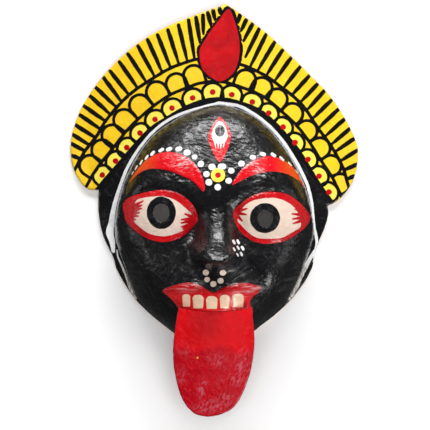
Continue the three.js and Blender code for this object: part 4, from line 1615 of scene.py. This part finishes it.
def shell_back(surface, loops):
    """Flat points, triangles and heights of the hollow and of the flat rim round it."""
    jaw = jaw_of_hollow(surface)
    rim_rows = rows_beside(jaw, RIM_ROW, loops, inset=1.0)
    coarse = points_within(loops, SHELL_BOX, [HOLLOW_SPACING])
    coarse = coarse[distance_to(coarse, jaw) > RIM_CLEARANCE]
    flat, triangles = fill(loops, np.concatenate([rim_rows, coarse]))
    hollow = inside(flat, rim_of_hollow(jaw))
    return flat, triangles, np.where(hollow, np.maximum(surface.back(*flat.T), 0.0), 0.0)


def shell_mesh(form):
    """The shell as a smooth closed sheet, with the attributes that its paint and skin need."""
    surface = FaceSurface(form)
    loops = [mask_outline(), *eye_hole_loops()]
    front, back = shell_front(form, surface, loops), shell_back(surface, loops)
    mesh, shares = closed_sheet("mask_shell_painted", loops, front, back, SHELL_WALL_ROWS)
    x, y, heights = np.array([v.co for v in mesh.vertices]).T / MM
    # How pale the painted sheen is at each vertex
    write_attribute(mesh, "rubbed", soft_patches(x, y, PAINTED_SHEEN))
    write_attribute(mesh, "bare", shares)
    write_attribute(mesh, "front", shares == 0)
    write_attribute(mesh, "give", np.clip(heights / SKIN_FADE, 0, 1))
    for layer in LAYERS:
        write_attribute(mesh, layer, np.full(len(shares), UNPAINTED))
    return mesh


def tongue_mesh(form):
    """The tongue as a smooth closed sheet, with the attributes that its paint and skin need."""
    surface = FaceSurface(form)
    loops = [tongue_outline()]
    sides = smooth_line(TONGUE_SIDES)
    faces = []
    for spacing in TONGUE_SPACINGS:
        inner = points_within(loops, TONGUE_BOX, [spacing])
        flat, triangles = fill(loops, np.concatenate([edge_rows(loops), inner]))
        faces.append((flat, triangles, surface.tongue(*flat.T), distance_to(flat, sides)))
    flat, triangles, top, from_sides = faces[0]
    front = (flat, triangles, rounded_edge(top, from_sides, TONGUE_FRONT_ROUND))
    flat, triangles, top, away = faces[1]
    under = top - form.tongue_thickness / MM
    back = (flat, triangles, 2 * under - rounded_edge(under, away, TONGUE_BACK_ROUND))
    mesh, shares = closed_sheet("tongue_painted", loops, front, back, TONGUE_WALL_ROWS)
    x, y, _heights = np.array([v.co for v in mesh.vertices]).T / MM
    elsewhere = np.zeros(len(shares) - len(from_sides))
    write_attribute(mesh, "bare", shares)
    write_attribute(mesh, "front", shares == 0)
    write_attribute(mesh, "give", np.ones(len(shares)))
    # How pale the tongue's painted sheen is at each vertex
    write_attribute(mesh, "rubbed", soft_patches(x, y, TONGUE_PAINTED_SHEEN))
    write_attribute(mesh, "shade", soft_patches(x, y, TONGUE_SHADE))
    # Distance from the sides, for the painted shade along them
    write_attribute(mesh, "from_edge", np.r_[from_sides, elsewhere] * MM)
    write_attribute(mesh, "speck", np.full(len(shares), UNPAINTED))
    return mesh


def skin_inputs(skin, share, material):
    """Inputs of the skin's tree, with lumps as high as the share says."""
    return {
        "Lump height": skin.lump_height * share,
        "Lump size": skin.lump_size,
        "Crinkle height": skin.crinkle_height,
        "Crinkle size": skin.crinkle_size,
        "Seed": float(skin.seed),
        "Finish": material,
    }


def paint_piece(piece, skin, material, patterns):
    """Lays the patterns on a piece in their order; returns the pattern objects."""
    trees = {"shapes": shape_painter(), "strokes": stroke_painter()}
    helpers = []
    for kind, name, lines, layer in patterns:
        relief, slope = RELIEFS.get(name, NO_RELIEF)
        make = shapes_object if kind == "shapes" else strokes_object
        helper = make(name, lines)
        helpers.append(helper)
        add_modifier(piece, trees[kind], {
            "Pattern": helper, "Paint": layer, "Relief": relief * MM, "Relief width": slope * MM,
            "Wobble": skin.wobble, "Wobble size": skin.wobble_size, "Seed": float(skin.seed),
            "Finish": material,
        })
    return helpers


class MASK_OT_build_shell(bpy.types.Operator):
    """Build the painted shell: face, hair, rim and crown, hollow behind"""

    bl_idname = "mask_piece.build_shell"
    bl_label = "Build Shell"
    bl_options = {"REGISTER", "UNDO"}

    def execute(self, context):
        scene = context.scene
        material = shell_material(scene.mask_paints)
        piece = link(bpy.data.objects.new("mask_shell_painted", shell_mesh(scene.mask_form)))
        helpers = paint_piece(piece, scene.mask_skin, material, painting())
        add_modifier(piece, paper_skin(), skin_inputs(scene.mask_skin, 1.0, material))
        settle(piece, helpers)
        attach(piece, "root")
        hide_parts("mask_shell")
        return {"FINISHED"}


class MASK_OT_build_tongue(bpy.types.Operator):
    """Build the red tongue that lies in its seat under the teeth"""

    bl_idname = "mask_piece.build_tongue"
    bl_label = "Build Tongue"
    bl_options = {"REGISTER", "UNDO"}

    def execute(self, context):
        scene = context.scene
        material = tongue_material(scene.mask_paints)
        piece = link(bpy.data.objects.new("tongue_painted", tongue_mesh(scene.mask_form)))
        patterns = [("strokes", "Yellow speck", [dot(*TONGUE_SPECK)], "speck")]
        helpers = paint_piece(piece, scene.mask_skin, material, patterns)
        add_modifier(piece, paper_skin(), skin_inputs(scene.mask_skin, 0.6, material))
        settle(piece, helpers)
        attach(piece, "root")
        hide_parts("tongue")
        return {"FINISHED"}


def floor_object(stage):
    """A plain square of floor."""
    reach = FLOOR_REACH
    corners = [(-reach, -reach, 0), (reach, -reach, 0), (reach, reach, 0), (-reach, reach, 0)]
    mesh = bpy.data.meshes.new("floor")
    mesh.from_pydata(corners, [], [(0, 1, 2, 3)])
    mesh.materials.append(floor_material(stage))
    floor = link(bpy.data.objects.new("floor", mesh))
    floor.visible_glossy = False
    return floor


def softbox(name, stage):
    """A large lamp that faces the mask."""
    place, width, height, setting, mirrored = SOFTBOXES[name]
    lamp = bpy.data.lights.new(name, "AREA")
    lamp.shape = "RECTANGLE"
    lamp.size, lamp.size_y = width, height
    lamp.energy = getattr(stage, setting)
    made = link(bpy.data.objects.new(name, lamp))
    made.location = place
    made.rotation_euler = (-Vector(place)).to_track_quat("-Z", "Y").to_euler()
    made.visible_glossy = mirrored


def room(strength):
    """A white room that gives a little light from all round."""
    world = bpy.data.worlds.new("studio")
    world.use_nodes = True
    background = world.node_tree.nodes["Background"].inputs
    background["Color"].default_value = (1.0, 1.0, 1.0, 1.0)
    background["Strength"].default_value = strength
    return world


def camera_object():
    """A camera far over the mask, looking straight down."""
    lens = bpy.data.cameras.new("camera")
    lens.lens = CAMERA_LENS
    lens.sensor_width = CAMERA_SENSOR
    lens.clip_end = CAMERA_VIEW_END
    camera = link(bpy.data.objects.new("camera", lens))
    camera.location = CAMERA_PLACE
    return camera


class MASK_OT_set_stage(bpy.types.Operator):
    """Lay the pale floor, hang the softboxes and place the camera over the mask"""

    bl_idname = "mask_piece.set_stage"
    bl_label = "Set Stage"
    bl_options = {"REGISTER", "UNDO"}

    def execute(self, context):
        scene = context.scene
        floor_object(scene.mask_stage)
        for name in SOFTBOXES:
            softbox(name, scene.mask_stage)
        scene.world = room(scene.mask_stage.sky)
        scene.view_settings.view_transform = "Standard"
        scene.camera = camera_object()
        return {"FINISHED"}


class MASK_PT_panel(bpy.types.Panel):
    """Lists the steps and the sizes of the mask"""

    bl_idname = "MASK_PT_panel"
    bl_label = "Kali Mask"
    bl_space_type = "VIEW_3D"
    bl_region_type = "UI"
    bl_category = "Kali Mask"

    def draw(self, context):
        """Buttons of the steps, and a box for each group of settings."""
        layout = self.layout
        for operator in (MASK_OT_build_shell, MASK_OT_build_tongue, MASK_OT_set_stage):
            layout.operator(operator.bl_idname)
        for group in ("mask_form", "mask_skin", "mask_paints", "mask_stage"):
            box = layout.box()
            settings = getattr(context.scene, group)
            for field in settings.__annotations__:
                box.prop(settings, field)


GROUPS = {
    "mask_form": MaskForm, "mask_skin": MaskSkin, "mask_paints": MaskPaints,
    "mask_stage": MaskStage,
}
CLASSES = [
    *GROUPS.values(), MASK_OT_build_shell, MASK_OT_build_tongue, MASK_OT_set_stage,
    MASK_PT_panel,
]


def register():
    """Makes the classes and the scene's settings known."""
    for cls in CLASSES:
        bpy.utils.register_class(cls)
    for name, group in GROUPS.items():
        setattr(bpy.types.Scene, name, bpy.props.PointerProperty(type=group))


def unregister():
    """Takes the settings and the classes away again."""
    for name in GROUPS:
        delattr(bpy.types.Scene, name)
    for cls in reversed(CLASSES):
        bpy.utils.unregister_class(cls)


def main():
    """Builds the mask and its stage."""
    register()
    bpy.ops.mask_piece.build_shell()
    bpy.ops.mask_piece.build_tongue()
    bpy.ops.mask_piece.set_stage()


if __name__ == "__main__":
    main()
